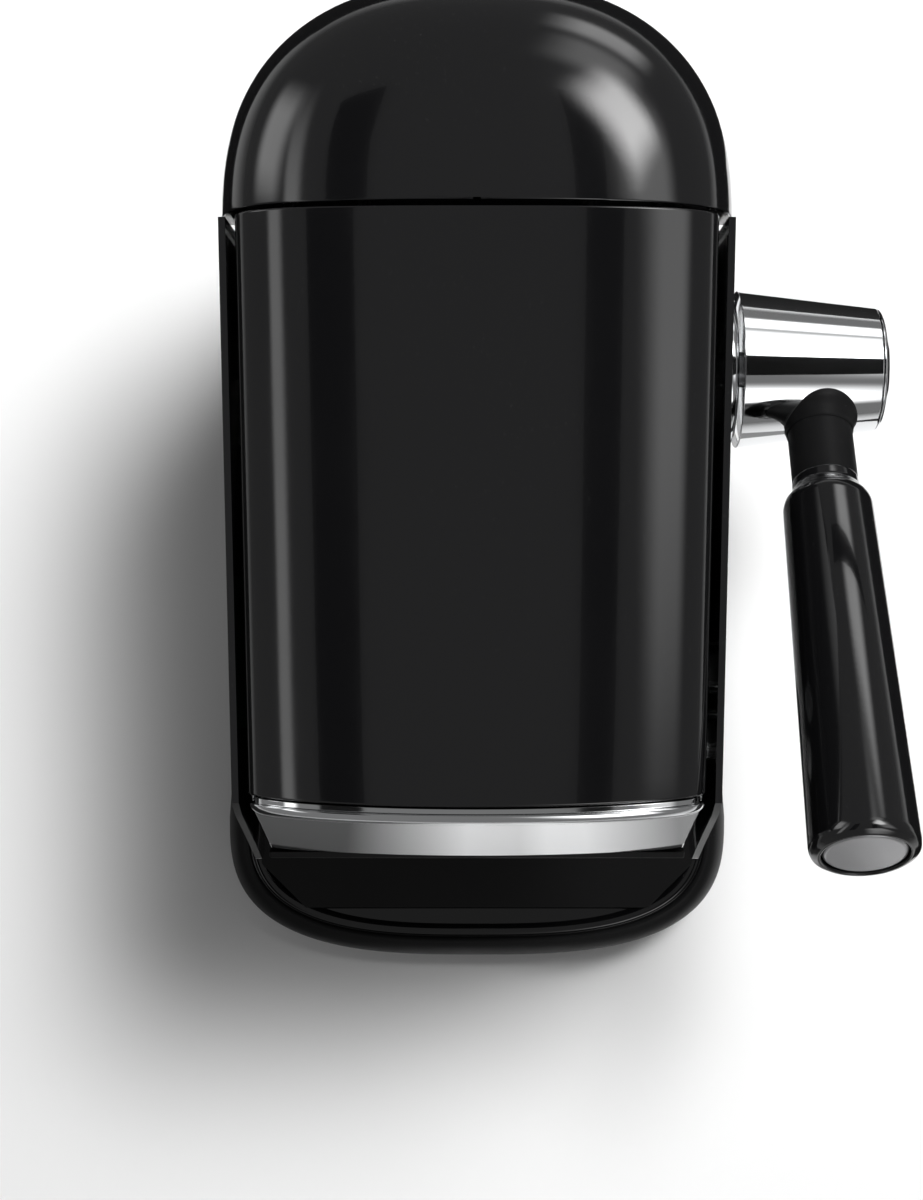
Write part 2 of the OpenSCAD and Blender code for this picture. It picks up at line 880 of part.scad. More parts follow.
module escutcheon() {
    seat_x = panel_half(lever_y, lever_z) - panel_wall;
    color("silver")
        translate([seat_x - 5, lever_y, lever_z])
            rotate([0, 90, 0])
                rotate_extrude()
                    polygon(concat(
                        [[shaft_r + loose, 0], [hub_in_r + 3, 0], [hub_in_r + 3, 2.5], [hub_in_r, 2.5]],
                        arc([hub_in_r - 6, hub_in_x - 2.5 - 6 - seat_x + 5], 6, 0, 90, 6),
                        [[shaft_r + loose, hub_in_x - 1.5 - seat_x + 5]]
                    ));
}

module lever_shaft() {
    color("#8c8f92")
        difference() {
            x_cylinder(crank_in_x, hub_out_x - 10, lever_y, lever_z, shaft_r);
            x_cylinder(hub_out_x - 30, hub_out_x, lever_y, lever_z, 2.5);
        }
}

// Crank on the inner end of a shaft, with its pin pointing at the mid-plane
module crank() {
    difference() {
        union() {
            x_cylinder(crank_in_x, crank_in_x + crank_t, lever_y, lever_z, shaft_r + 5);
            x_cylinder(crank_in_x, crank_in_x + crank_t, pin_y, pin_z, crank_pin_r + 3.5);
            translate([crank_in_x, lever_y, lever_z])
                rotate([half_throw - 90, 0, 0])
                    translate([0, 0, -6])
                        cube([crank_t, crank_r, 12]);
        }
        x_cylinder(0, base_w, lever_y, lever_z, shaft_r);
    }
    x_cylinder(yoke_in_x - 0.5, crank_in_x, pin_y, pin_z, crank_pin_r);
}

module right_crank() {
    color("#7d8084")
        crank();
}

module left_crank() {
    color("#7d8084")
        mirror([1, 0, 0])
            crank();
}

module left_stub_shaft() {
    color("#8c8f92")
        mirror([1, 0, 0])
            x_cylinder(crank_in_x, frame_in_x + frame_t + 6, lever_y, lever_z, shaft_r);
}

cap_t = 3;
module lever_hub() {
    color("silver")
        difference() {
            translate([hub_in_x, lever_y, lever_z])
                rotate([0, 90, 0])
                    rotate_extrude()
                        polygon([
                            [shaft_r, 0], [hub_in_r - 1, 0], [hub_in_r, 1.2],
                            [hub_out_r + 0.4, hub_out_x - hub_in_x - cap_t],
                            [15, hub_out_x - hub_in_x - cap_t], [15, hub_out_x - hub_in_x - 10],
                            [shaft_r, hub_out_x - hub_in_x - 10]
                        ]);
            along_lever(14)
                cylinder(h = 40, r = neck_r - 2);
        }
}

module hub_cap() {
    color("silver")
        translate([hub_out_x - cap_t, lever_y, lever_z])
            rotate([0, 90, 0])
                rotate_extrude()
                    polygon([
                        [0, -3], [14.7, -3], [14.7, 0], [hub_out_r + 0.4, 0],
                        [hub_out_r - 0.4, cap_t - 1.6], [hub_out_r - 2, cap_t - 0.5], [10, cap_t], [0, cap_t]
                    ]);
}

module hub_screw() {
    color("#55585c")
        union() {
            x_cylinder(hub_out_x - 28, hub_out_x - 10, lever_y, lever_z, 2.5);
            x_cylinder(hub_out_x - 10, hub_out_x - 6.4, lever_y, lever_z, 7);
        }
}

// Collar between the hub and the neck
collar_start = 20;
collar_end = 27.5;
module neck_collar() {
    color("#161616")
        difference() {
            along_lever(collar_start)
                rotate_extrude()
                    polygon([
                        [neck_r - 2, 0], [neck_r + 3.2, 0], [neck_r + 2, 3.5],
                        [neck_r + 0.3, collar_end - collar_start], [neck_r - 2, collar_end - collar_start]
                    ]);
            translate([hub_in_x + 1.2, lever_y, lever_z])
                rotate([0, 90, 0])
                    cylinder(h = hub_out_x - hub_in_x - cap_t - 1.2, r1 = hub_in_r, r2 = hub_out_r + 0.4);
        }
}

grip_start = 47;
shoulder_len = 9;
module lever_neck() {
    color("#161616") {
        along_lever(14)
            cylinder(h = collar_end - 14, r = neck_r - 2);
        along_lever(collar_end)
            cylinder(h = grip_start - collar_end, r = neck_r);
    }
}

disc_r = 13.2;
module lever_grip() {
    color("#080808")
        along_lever(grip_start)
            rotate_extrude()
                polygon([
                    [0, 0], [neck_r + 0.8, 0], [neck_r + 1.4, 2], [grip_start_r - 0.6, shoulder_len - 2],
                    [grip_start_r, shoulder_len], [grip_end_r, lever_len - grip_start - 3],
                    [grip_end_r - 0.6, lever_len - grip_start - 1.2], [disc_r + 1, lever_len - grip_start],
                    [disc_r, lever_len - grip_start], [disc_r, lever_len - grip_start - 3],
                    [0, lever_len - grip_start - 3]
                ]);
}

module grip_disc() {
    color("#b8bbbe")
        along_lever(lever_len - 3)
            rotate_extrude()
                polygon([[0, 0], [disc_r, 0], [disc_r, 1.6], [disc_r - 0.6, 2.2], [6, 2.7], [0, 2.8]]);
}

// Water tank and its dome lid ----------------------------------------------

tank_low_z = tray_top_z + 8;
tank_front_y = hood_rear_y + 3;
tank_half = top_w / 2 - 2;
tank_len = back_y - 3 - tank_front_y;

// Plan of the tank: flat towards the column and round at the back
function tank_outline(inset) = [
    for (p = superellipse(tank_half - inset, tank_len - inset, 2.4, 0, 180, 28))
        [p[0], p[1] + tank_front_y + inset]
];

module water_tank() {
    color("#3a4046")
        difference() {
            union() {
                translate([0, 0, tank_low_z])
                    linear_extrude(lid_rim_z - tank_low_z)
                        polygon(tank_outline(0));
                translate([0, socket_y, tray_top_z + 0.5])
                    cylinder(h = 10, r = 9);
            }
            translate([0, 0, tank_low_z + tank_wall])
                linear_extrude(lid_rim_z - tank_low_z)
                    polygon(tank_outline(tank_wall));
            translate([0, socket_y, tray_top_z])
                cylinder(h = 20, r = 4);
        }
}

module tank_valve() {
    color("#e0e0dc")
        translate([0, socket_y, 0]) {
            translate([0, 0, tray_top_z + 2])
                cylinder(h = 11, r = 4);
            translate([0, 0, tank_low_z + tank_wall])
                cylinder(h = 3, r = 8);
        }
}

module tank_socket() {
    color("#202020")
        translate([0, socket_y, tray_top_z - 6])
            difference() {
                union() {
                    cylinder(h = 6, r = hose_r + 3);
                    translate([0, 0, 6])
                        difference() {
                            cylinder(h = 6, r = 14);
                            translate([0, 0, 0.2])
                                cylinder(h = 6, r = 11.5);
                        }
                }
                translate([0, 0, -1])
                    cylinder(h = 10, r = hose_r - 0.5);
            }
}

module socket_seal() {
    color("#7a2a20")
        translate([0, socket_y, tray_top_z + 2.5])
            rotate_extrude()
                translate([10.4, 0])
                    circle(r = 1.05, $fn = 24);
}

// Dome: plan rings that climb and close in
dome_half = top_w / 2 + 2.8;
function dome_ring(inset, t) =
    let (u = pow(cos(t), 2 / 3.2), h = pow(sin(t), 2 / 3), len_y = back_y - dome_front_y)
    [for (p = superellipse((dome_half - inset) * u, (len_y - 2 * inset) * u, 2.4, 0, 180, 28))
        [p[0], p[1] + dome_front_y + inset, lid_rim_z + (body_h - lid_rim_z - inset) * h]];

module dome_solid(inset) {
    loft([for (t = [0, 8, 18, 28, 38, 48, 58, 68, 77, 84, 88.5]) dome_ring(inset, t)]);
}

module tank_lid() {
    color("#0a0a0a")
        difference() {
            dome_solid(0);
            translate([0, 0, -0.01])
                dome_solid(cover_wall);
        }
}

// Drip tray, grid and container, which pull out together ---------------------

grid_t = 3;
grid_ledge = 5;
shelf_z = plinth_z + slide_gap + 0.6;
shelf_t = 3;
module drip_tray() {
    color("#0d0d0d")
        difference() {
            union() {
                loft([for (s = concat([[plinth_z + slide_gap, 0]], base_shoulder))
                    let (rear = base_cut(s[1], tray_rear_y - slide_gap))
                    raised(concat(base_front(s[1]), [rear[1], rear[0]]), s[0])]);
                block([-container_half, tray_rear_y - 3, shelf_z],
                    [container_half, tray_rear_y + container_len + 12, shelf_z + shelf_t]);
            }
            translate([0, 0, plinth_z + 4.6])
                linear_extrude(tray_top_z)
                    polygon(grid_outline(grid_ledge));
            translate([0, 0, tray_top_z - grid_t])
                linear_extrude(tray_top_z)
                    polygon(grid_outline(-0.4));
        }
}

// Outline of the grid: straight front with 45 degree corners
grid_front_y = front_y + 22;
grid_corner = 18;
function grid_outline(inset) =
    let (half = base_w / 2 - shoulder_in - 5.5 - inset)
    [[-half, tray_rear_y - 2 - inset], [-half, grid_front_y + grid_corner + inset],
     [-half + grid_corner, grid_front_y + inset], [half - grid_corner, grid_front_y + inset],
     [half, grid_front_y + grid_corner + inset], [half, tray_rear_y - 2 - inset]];

module drip_grid() {
    slot_pitch = 100 / (grid_slots - 1);
    color("#161616")
        difference() {
            translate([0, 0, tray_top_z - grid_t])
                linear_extrude(grid_t + 0.6)
                    polygon(grid_outline(0));
            for (i = [0:grid_slots - 1])
                block([-52 + i * slot_pitch, grid_front_y + 24, 0],
                    [-48 + i * slot_pitch, tray_rear_y - 10, tray_top_z + 10]);
        }
}

module capsule_container() {
    low = shelf_z + shelf_t;
    rear = tray_rear_y + container_len + 10;
    front = tray_rear_y + 10;
    color("#111111")
        difference() {
            block([-container_half + 0.5, front, low], [container_half - 0.5, rear, plinth_z + container_h]);
            block([-container_half + 3, front + 2.5, low + 2.5],
                [container_half - 3, rear - 2.5, plinth_z + container_h + 1]);
        }
}

// Brew buttons ---------------------------------------------------------------

button_out_x = panel_half(button_ys[0], button_z) + 0.9;

module button_bezel() {
    color("silver")
        for (y = button_ys)
            difference() {
                union() {
                    x_cylinder(button_out_x - 8, button_out_x - 0.4, y, button_z, button_r + 1.5);
                    x_cylinder(button_out_x - 8, button_out_x - 6, y, button_z, button_r + 3);
                }
                x_cylinder(0, base_w, y, button_z, button_r + loose);
            }
}

module brew_button(y) {
    color("#c8cacc")
        x_cylinder(button_out_x - 7.5, button_out_x, y, button_z, button_r);
    color("#c8cacc")
        x_cylinder(button_out_x - 10, button_out_x - 7.5, y, button_z, 3);
}

module small_cup_button() {
    brew_button(button_ys[0]);
}

module large_cup_button() {
    brew_button(button_ys[1]);
}

module button_switches() {
    color("#2c2c30")
        for (y = button_ys)
            block([button_out_x - 20, y - 4, button_z - 4],
                [button_out_x - 10 - button_travel - 0.4, y + 4, button_z + 4]);
}

// Placing --------------------------------------------------------------------

// Moves a piece from the machine's mid-plane to the origin of the whole
module placed() {
    translate([mid_x, 0, 0])
        children();
}

placed() rubber_feet();
placed() base_pan();
placed() base_screws();
placed() base_shell();
placed() cord_gland();
placed() left_side_panel();
placed() right_side_panel();
placed() head_floor();
placed() bay_panel();
placed() rear_bulkhead();
placed() capsule_deck();
placed() head_rails();
placed() brew_frame();
placed() shaft_bushes();
placed() extraction_plate();
placed() coffee_pipe();
placed() coffee_spout();
placed() capsule_chute();
placed() feed_gland();
placed() thermoblock();
placed() pump();
placed() pump_mounts();
placed() flow_meter();
placed() cold_hose();
placed() pressure_hose();
placed() hot_hose();
placed() control_board();
placed() button_switches();
placed() button_bezel();
placed() escutcheon();
placed() tank_socket();
placed() socket_seal();
placed() hood();
placed() nose_lip();
placed() nose_plate();
placed() hood_shoes();
placed() head_carriage();
placed() capsule_cage();
placed() brew_seal();
placed() feed_tube();
placed() cage_needles();
placed() lever_shaft();
placed() right_crank();
placed() lever_hub();
placed() hub_cap();
placed() hub_screw();
placed() neck_collar();
placed() lever_neck();
placed() lever_grip();
placed() grip_disc();
placed() left_stub_shaft();
placed() left_crank();
placed() water_tank();
placed() tank_valve();
placed() tank_lid();
placed() drip_tray();
placed() drip_grid();
placed() capsule_container();
placed() small_cup_button();
placed() large_cup_button();
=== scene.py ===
import bpy
import bmesh
from math import cos, pi, radians, sin
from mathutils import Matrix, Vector


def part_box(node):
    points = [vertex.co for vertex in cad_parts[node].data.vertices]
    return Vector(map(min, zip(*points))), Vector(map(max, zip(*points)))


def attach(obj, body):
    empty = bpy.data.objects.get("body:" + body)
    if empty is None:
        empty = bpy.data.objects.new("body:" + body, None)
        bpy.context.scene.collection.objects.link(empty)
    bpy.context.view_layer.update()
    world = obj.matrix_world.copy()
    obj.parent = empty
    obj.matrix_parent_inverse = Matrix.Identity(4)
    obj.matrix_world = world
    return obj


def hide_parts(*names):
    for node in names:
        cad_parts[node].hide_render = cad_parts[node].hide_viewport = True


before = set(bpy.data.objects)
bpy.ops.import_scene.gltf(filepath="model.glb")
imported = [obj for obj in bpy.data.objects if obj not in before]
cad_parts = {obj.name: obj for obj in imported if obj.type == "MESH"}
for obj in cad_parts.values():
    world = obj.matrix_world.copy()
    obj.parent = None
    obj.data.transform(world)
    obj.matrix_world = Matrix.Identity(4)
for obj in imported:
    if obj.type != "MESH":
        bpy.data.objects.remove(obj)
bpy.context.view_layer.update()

# Camera: hangs straight over the machine, a little in front of its middle, as a top view
# of the whole appliance with its drip tray and lever.
hood_low, hood_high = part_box("hood")
middle_x = (hood_low.x + hood_high.x) / 2
camera_data = bpy.data.cameras.new("top_camera")
camera_data.lens = 63.8
camera_data.sensor_width = 36
camera_data.shift_x = -0.0129
camera_data.shift_y = -0.0208
camera = bpy.data.objects.new("top_camera", camera_data)
camera.location = (middle_x, -0.0075, 0.915)
bpy.context.scene.collection.objects.link(camera)
bpy.context.scene.camera = camera
bpy.context.scene.view_settings.view_transform = "Standard"


# Studio floor: a plain pale sheet that the machine's rubber feet stand on. It only
# catches the machine's soft shadow.
def plain_material(name, colour, roughness, metallic=0.0):
    """A new material with its Principled shader's own sockets set; returns material and shader."""
    material = bpy.data.materials.new(name)
    material.use_nodes = True
    shader = material.node_tree.nodes["Principled BSDF"]
    shader.inputs["Base Color"].default_value = (*colour, 1)
    shader.inputs["Roughness"].default_value = roughness
    shader.inputs["Metallic"].default_value = metallic
    return material, shader


bpy.ops.object.select_all(action="DESELECT")
bpy.ops.mesh.primitive_plane_add(size=6, location=(0, 0, 0))
floor = bpy.context.object
floor.name = "studio_floor"
floor_material, floor_shader = plain_material("floor_white", (0.86, 0.86, 0.86), 0.9)
floor_shader.inputs["Specular IOR Level"].default_value = 0.1
floor.data.materials.append(floor_material)

# Studio light: a dim even room, one soft key overhead to the back right that throws the
# shadow to the front left, and dim boxes that only draw highlights on the lacquer and chrome.
world = bpy.data.worlds.new("studio_room")
world.use_nodes = True
world.node_tree.nodes["Background"].inputs["Color"].default_value = (1, 1, 1, 1)
world.node_tree.nodes["Background"].inputs["Strength"].default_value = 0.19
bpy.context.scene.world = world


def soft_box(name, place, target, width, height, power, fade=0.35):
    """A rectangular area light at place that faces target, dimmer towards its edges; returns it."""
    data = bpy.data.lights.new(name, "AREA")
    data.shape = "RECTANGLE"
    data.size = width
    data.size_y = height
    data.energy = power
    data.use_nodes = True
    tree = data.node_tree
    spot = tree.nodes.new("ShaderNodeNewGeometry")
    split = tree.nodes.new("ShaderNodeSeparateXYZ")
    tree.links.new(spot.outputs["Parametric"], split.inputs[0])
    strength = tree.nodes.new("ShaderNodeMath")
    strength.operation = "MULTIPLY"
    for i in (0, 1):
        from_edge = tree.nodes.new("ShaderNodeMath")
        from_edge.operation = "PINGPONG"
        from_edge.inputs[1].default_value = 0.5
        rise = tree.nodes.new("ShaderNodeMapRange")
        rise.interpolation_type = "SMOOTHSTEP"
        rise.inputs["From Max"].default_value = fade
        tree.links.new(split.outputs[i], from_edge.inputs[0])
        tree.links.new(from_edge.outputs[0], rise.inputs["Value"])
        tree.links.new(rise.outputs["Result"], strength.inputs[i])
    tree.links.new(strength.outputs[0], tree.nodes["Emission"].inputs["Strength"])
    lamp = bpy.data.objects.new(name, data)
    lamp.location = place
    lamp.rotation_euler = (Vector(target) - Vector(place)).to_track_quat("-Z", "Y").to_euler()
    bpy.context.scene.collection.objects.link(lamp)
    return lamp


key_box = soft_box("key_box", (0.35, 0.5, 1.6), (0, 0, 0.1), 0.55, 0.55, 74)
key_box.visible_glossy = False
soft_box("dome_box", (0.6, 0.68, 1.32), (0, 0.1, 0.3), 0.75, 0.6, 11.0)
highlight_boxes = (
    ("right_box", (0.93, 0.25, 1.42), (0, 0.05, 0.3), 1.8, 0.95, 7.5),
    ("left_strip", (-0.95, -0.15, 1.22), (0, -0.15, 0.3), 2.6, 0.32, 3.9),
    ("left_back_box", (-1.0, 0.55, 0.75), (0, 0.1, 0.3), 0.8, 0.65, 3.6),
    ("front_box", (0.45, -1.0, 1.12), (0.1, 0, 0.2), 0.8, 1.2, 6.5),
    ("back_box", (0.62, 1.35, 0.72), (0.05, 0, 0.2), 0.9, 0.55, 4.2),
    ("rear_box", (0.6, 1.2, 1.25), (0.1, 0, 0.2), 0.9, 0.7, 2.6),
)
for name, place, target, width, height, power in highlight_boxes:
    soft_box(name, place, target, width, height, power).visible_diffuse = False


def dark_card(name, low, high, material):
    """A flat card from corner low to corner high; only its reflection shows."""
    bpy.ops.object.select_all(action="DESELECT")
    middle = [(a + b) / 2 for a, b in zip(low, high)]
    bpy.ops.mesh.primitive_plane_add(size=1, location=middle)
    card = bpy.context.object
    card.name = name
    bpy.ops.transform.resize(value=(high[0] - low[0], high[1] - low[1], 1))
    card.data.materials.append(material)
    card.visible_camera = False
    card.visible_shadow = False
    card.visible_diffuse = False


# Dark cards: laid on the floor and hung overhead, out of the camera's sight, they draw the
# dark edges on the chrome and the dark lines beside the hood's highlights.
card_black, card_shader = plain_material("card_black", (0.004, 0.004, 0.004), 0.95)
# The grey card carries painted shade. Its ramp across X is dark at the left end, light in the middle and darker again
# at the right. It paints the chrome nose plate's reflection of the floor shadowed in front of the machine.
painted_floor_shade_card, card_shader = plain_material("painted_floor_shade_card", (0.3, 0.3, 0.3), 0.95)
card_place = painted_floor_shade_card.node_tree.nodes.new("ShaderNodeTexCoord")
card_split = painted_floor_shade_card.node_tree.nodes.new("ShaderNodeSeparateXYZ")
card_across = painted_floor_shade_card.node_tree.nodes.new("ShaderNodeMapRange")
painted_shade_ramp = painted_floor_shade_card.node_tree.nodes.new("ShaderNodeValToRGB")
painted_floor_shade_card.node_tree.links.new(card_place.outputs["Object"], card_split.inputs[0])
painted_floor_shade_card.node_tree.links.new(card_split.outputs["X"], card_across.inputs["Value"])
painted_floor_shade_card.node_tree.links.new(card_across.outputs["Result"], painted_shade_ramp.inputs["Fac"])
painted_floor_shade_card.node_tree.links.new(painted_shade_ramp.outputs["Color"], card_shader.inputs["Base Color"])
card_across.inputs["From Min"].default_value = -0.2
card_across.inputs["From Max"].default_value = 0.2
for place, grey in ((0.22, 0.5), (0.36, 0.8), (0.52, 0.7), (0.6, 0.85), (0.72, 0.85)):
    stop = painted_shade_ramp.color_ramp.elements.new(place)
    stop.color = (grey, grey, grey, 1)
painted_shade_ramp.color_ramp.elements[0].color = (0.1, 0.1, 0.1, 1)
painted_shade_ramp.color_ramp.elements[-1].color = (0.25, 0.25, 0.25, 1)
for name, low, high, material in (
    ("card_behind", (-0.6, 0.2, 0.001), (1.0, 1.1, 0.001), card_black),
    ("card_right", (0.26, -0.5, 0.001), (0.95, 0.2, 0.001), card_black),
    ("card_left", (-0.9, -0.9, 0.001), (-0.2, 0.2, 0.001), card_black),
    ("card_front", (-0.2, -0.9, 0.001), (0.2, -0.2, 0.001), painted_floor_shade_card),
    ("card_over_left", (-0.7, -0.9, 1.6), (-0.36, 0.9, 1.6), card_black),
    ("card_hub", (0.085, 0.045, 0.27), (0.17, 0.08, 0.27), card_black),
    ("card_over_right", (0.28, -0.9, 1.7), (0.5, 0.9, 1.7), card_black),
):
    dark_card(name, low, high, material)

# Base shell: the low foot of the machine, moulded in satin black plastic. Its top
# rolls over to the flat deck that the column and the water tank stand on.
def superellipse(half_x, half_y, power, first, last, steps):
    """Points of a superellipse between two angles in degrees, both ends included."""
    points = []
    for i in range(steps + 1):
        angle = radians(first + (last - first) * i / steps)
        x = abs(cos(angle)) ** (2 / power) * (1 if cos(angle) > 0 else -1)
        y = abs(sin(angle)) ** (2 / power) * (1 if sin(angle) > 0 else -1)
        points.append((half_x * x, half_y * y))
    return points


def draw_out(name, rings, cap_first=True, cap_last=True):
    """A skin drawn out of one circle: its edge is extruded, and set on each ring in turn."""
    bpy.ops.object.select_all(action="DESELECT")
    bpy.ops.mesh.primitive_circle_add(vertices=len(rings[0]), fill_type="NGON" if cap_first else "NOTHING")
    piece = bpy.context.object
    piece.name = name
    for vertex, point in zip(piece.data.vertices, rings[0]):
        vertex.co = point
    bpy.ops.object.mode_set(mode="EDIT")
    mesh = bmesh.from_edit_mesh(piece.data)
    mesh.verts.ensure_lookup_table()
    loop = list(mesh.verts)
    for ring in rings[1:]:
        edges = [mesh.edges.get((loop[i - 1], loop[i])) for i in range(len(loop))]
        made = bmesh.ops.extrude_edge_only(mesh, edges=edges)["geom"]
        fresh = {part.co.to_tuple(7): part for part in made if isinstance(part, bmesh.types.BMVert)}
        loop = [fresh[vertex.co.to_tuple(7)] for vertex in loop]
        for vertex, point in zip(loop, ring):
            vertex.co = point
    if cap_last:
        mesh.faces.new(loop)
    bmesh.ops.recalc_face_normals(mesh, faces=mesh.faces)
    bmesh.update_edit_mesh(piece.data)
    bpy.ops.object.mode_set(mode="OBJECT")
    return piece


def finish_edges(piece, width=0.0005, angle=32, segments=3, clamp=False):
    """Rounds a piece's sharp edges with an applied bevel and shades the rest smooth."""
    if width:
        bevel = piece.modifiers.new("edge_round", "BEVEL")
        bevel.width = width
        bevel.segments = segments
        bevel.limit_method = "ANGLE"
        bevel.angle_limit = radians(angle)
        bevel.use_clamp_overlap = clamp
        bevel.harden_normals = False
        bpy.context.view_layer.objects.active = piece
        bpy.ops.object.modifier_apply(modifier=bevel.name)
    bpy.ops.object.select_all(action="DESELECT")
    piece.select_set(True)
    bpy.context.view_layer.objects.active = piece
    bpy.ops.object.shade_smooth_by_angle(angle=radians(angle))
    weighted = piece.modifiers.new("even_shading", "WEIGHTED_NORMAL")
    weighted.keep_sharp = True
    weighted.weight = 80
    bpy.ops.object.modifier_apply(modifier=weighted.name)


shell_low, shell_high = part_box("base_shell")
lid_low, lid_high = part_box("tank_lid")
base_half = (shell_high.x - shell_low.x) / 2
base_rear_half = 0.088
nose_depth = 0.0575
widest_y = shell_low.y + nose_depth
seam_y = (hood_high.y + lid_low.y) / 2
rear_depth = shell_high.y - seam_y
deck_z = shell_high.z
plinth_z = 0.02
shoulder_in = 0.0095
skirt_top_z = deck_z - 0.0006


def base_front(inset):
    """The round front of the base's outline, from left to right."""
    return [(middle_x + x, widest_y + y) for x, y in
            superellipse(base_half - inset, nose_depth - inset, 2.9, 180, 360, 72)]


def base_back(inset):
    """The rounder back of the base's outline, from right to left."""
    return [(middle_x + x, seam_y + y) for x, y in
            superellipse(base_rear_half - inset, rear_depth - inset, 2.4, 0, 180, 56)]


def foot_half(y):
    """Half width of the base along its straight sides."""
    return base_half - (base_half - base_rear_half) * (y - widest_y) / (seam_y - widest_y)


def at_height(outline, z):
    """An outline in the plane, raised to height z."""
    return [(x, y, z) for x, y in outline]


def shoulder(steps):
    """The rolled top edge of the base, as pairs of height and inset."""
    start = plinth_z + 0.007
    return [(start + (deck_z - start) * sin(pi / 2 * i / steps),
             shoulder_in * (1 - cos(pi / 2 * i / steps))) for i in range(steps + 1)]


tray_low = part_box("drip_tray")[0]
grid_low, grid_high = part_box("drip_grid")
rear_cut_y = grid_high.y + 0.0025


def rear_outline(inset):
    """Outline of the base's upper rear part, cut straight where the drip tray ends."""
    half = foot_half(rear_cut_y) - inset
    front_edge = [(middle_x - half + 2 * half * i / 12, rear_cut_y) for i in range(13)]
    return front_edge + base_back(inset)


plinth = draw_out("base_plinth", [
    at_height(base_front(inset) + base_back(inset), z)
    for z, inset in ((shell_low.z, 0.0012), (shell_low.z + 0.0012, 0), (plinth_z - 0.0012, 0), (plinth_z, 0.0012))
])
finish_edges(plinth, 0)
rear_base = draw_out("base_shell_rear", [at_height(rear_outline(0.0006), plinth_z - 0.0005)] + [
    at_height(rear_outline(inset), z) for z, inset in [(plinth_z + 0.0004, 0)] + shoulder(14)
])
finish_edges(rear_base, 0.0006, 60)

bpy.ops.object.select_all(action="DESELECT")
rear_base.select_set(True)
plinth.select_set(True)
bpy.context.view_layer.objects.active = plinth
bpy.ops.object.join()
plinth.name = "base_shell_moulding"


def new_group(name, numbers, outputs):
    """An empty shader node group with number inputs and named outputs; returns its parts."""
    group = bpy.data.node_groups.new(name, "ShaderNodeTree")
    for label, value in numbers.items():
        socket = group.interface.new_socket(label, in_out="INPUT", socket_type="NodeSocketFloat")
        socket.default_value = value
    for label in outputs:
        group.interface.new_socket(label, in_out="OUTPUT", socket_type="NodeSocketFloat")
    return group, group.nodes.new("NodeGroupInput"), group.nodes.new("NodeGroupOutput")


def noise_node(tree, scale, detail, roughness=0.5):
    """A noise texture on Object coordinates; returns the noise node."""
    place = tree.nodes.new("ShaderNodeTexCoord")
    noise = tree.nodes.new("ShaderNodeTexNoise")
    noise.inputs["Scale"].default_value = scale
    noise.inputs["Detail"].default_value = detail
    noise.inputs["Roughness"].default_value = roughness
    tree.links.new(place.outputs["Object"], noise.inputs["Vector"])
    return noise


def range_node(tree, source, low, high, to_low, to_high):
    """A clamped map of one output to another range; returns its result socket."""
    node = tree.nodes.new("ShaderNodeMapRange")
    for label, value in zip(("From Min", "From Max", "To Min", "To Max"), (low, high, to_low, to_high)):
        node.inputs[label].default_value = value
    tree.links.new(source, node.inputs["Value"])
    return node.outputs["Result"]


# What every finish shares: the slow waviness and handling haze of a sprayed or moulded
# surface, and the fine dust that settles on it.
surface_haze, haze_in, haze_out = new_group("surface_haze", {"Rough": 0.1, "Spread": 0.03}, ["Roughness"])
haze_noise = noise_node(surface_haze, 22, 3)
haze_mix = surface_haze.nodes.new("ShaderNodeMath")
haze_mix.operation = "MULTIPLY_ADD"
surface_haze.links.new(range_node(surface_haze, haze_noise.outputs["Fac"], 0.35, 0.7, -1, 1),
                       haze_mix.inputs[0])
surface_haze.links.new(haze_in.outputs["Spread"], haze_mix.inputs[1])
surface_haze.links.new(haze_in.outputs["Rough"], haze_mix.inputs[2])
surface_haze.links.new(haze_mix.outputs[0], haze_out.inputs["Roughness"])

fine_dust, dust_in, dust_out = new_group("fine_dust", {"Amount": 0.5}, ["Mask"])
dust_noise = noise_node(fine_dust, 900, 2, 0.7)
dust_clouds = noise_node(fine_dust, 9, 2)
dust_mix = fine_dust.nodes.new("ShaderNodeMath")
dust_mix.operation = "MULTIPLY"
dust_amount = fine_dust.nodes.new("ShaderNodeMath")
dust_amount.operation = "MULTIPLY"
fine_dust.links.new(range_node(fine_dust, dust_noise.outputs["Fac"], 0.66, 0.78, 0, 1), dust_mix.inputs[0])
fine_dust.links.new(range_node(fine_dust, dust_clouds.outputs["Fac"], 0.4, 0.7, 0.1, 1), dust_mix.inputs[1])
fine_dust.links.new(dust_mix.outputs[0], dust_amount.inputs[0])
fine_dust.links.new(dust_in.outputs["Amount"], dust_amount.inputs[1])
fine_dust.links.new(dust_amount.outputs[0], dust_out.inputs["Mask"])


def add_group(material, group, **numbers):
    """Places a shared group in a material with its own numbers; returns the group node."""
    node = material.node_tree.nodes.new("ShaderNodeGroup")
    node.node_tree = group
    for label, value in numbers.items():
        node.inputs[label].default_value = value
    return node


def add_bump(material, shader, height, strength, distance):
    """Feeds a height into the shader's normal."""
    bump = material.node_tree.nodes.new("ShaderNodeBump")
    bump.inputs["Strength"].default_value = strength
    bump.inputs["Distance"].default_value = distance
    material.node_tree.links.new(height, bump.inputs["Height"])
    material.node_tree.links.new(bump.outputs["Normal"], shader.inputs["Normal"])


def finish_material(name, colour, dust_colour, rough, spread, dust, metallic=0.0):
    """A material with haze in its roughness and fine dust in its colour; returns it and its shader."""
    material, shader = plain_material(name, colour, rough, metallic)
    links = material.node_tree.links
    haze = add_group(material, surface_haze, Rough=rough, Spread=spread)
    links.new(haze.outputs["Roughness"], shader.inputs["Roughness"])
    specks = add_group(material, fine_dust, Amount=dust)
    mix = material.node_tree.nodes.new("ShaderNodeMix")
    mix.data_type = "RGBA"
    mix.inputs[6].default_value = (*colour, 1)
    mix.inputs[7].default_value = (*dust_colour, 1)
    links.new(specks.outputs["Mask"], mix.inputs[0])
    links.new(mix.outputs[2], shader.inputs["Base Color"])
    return material, shader


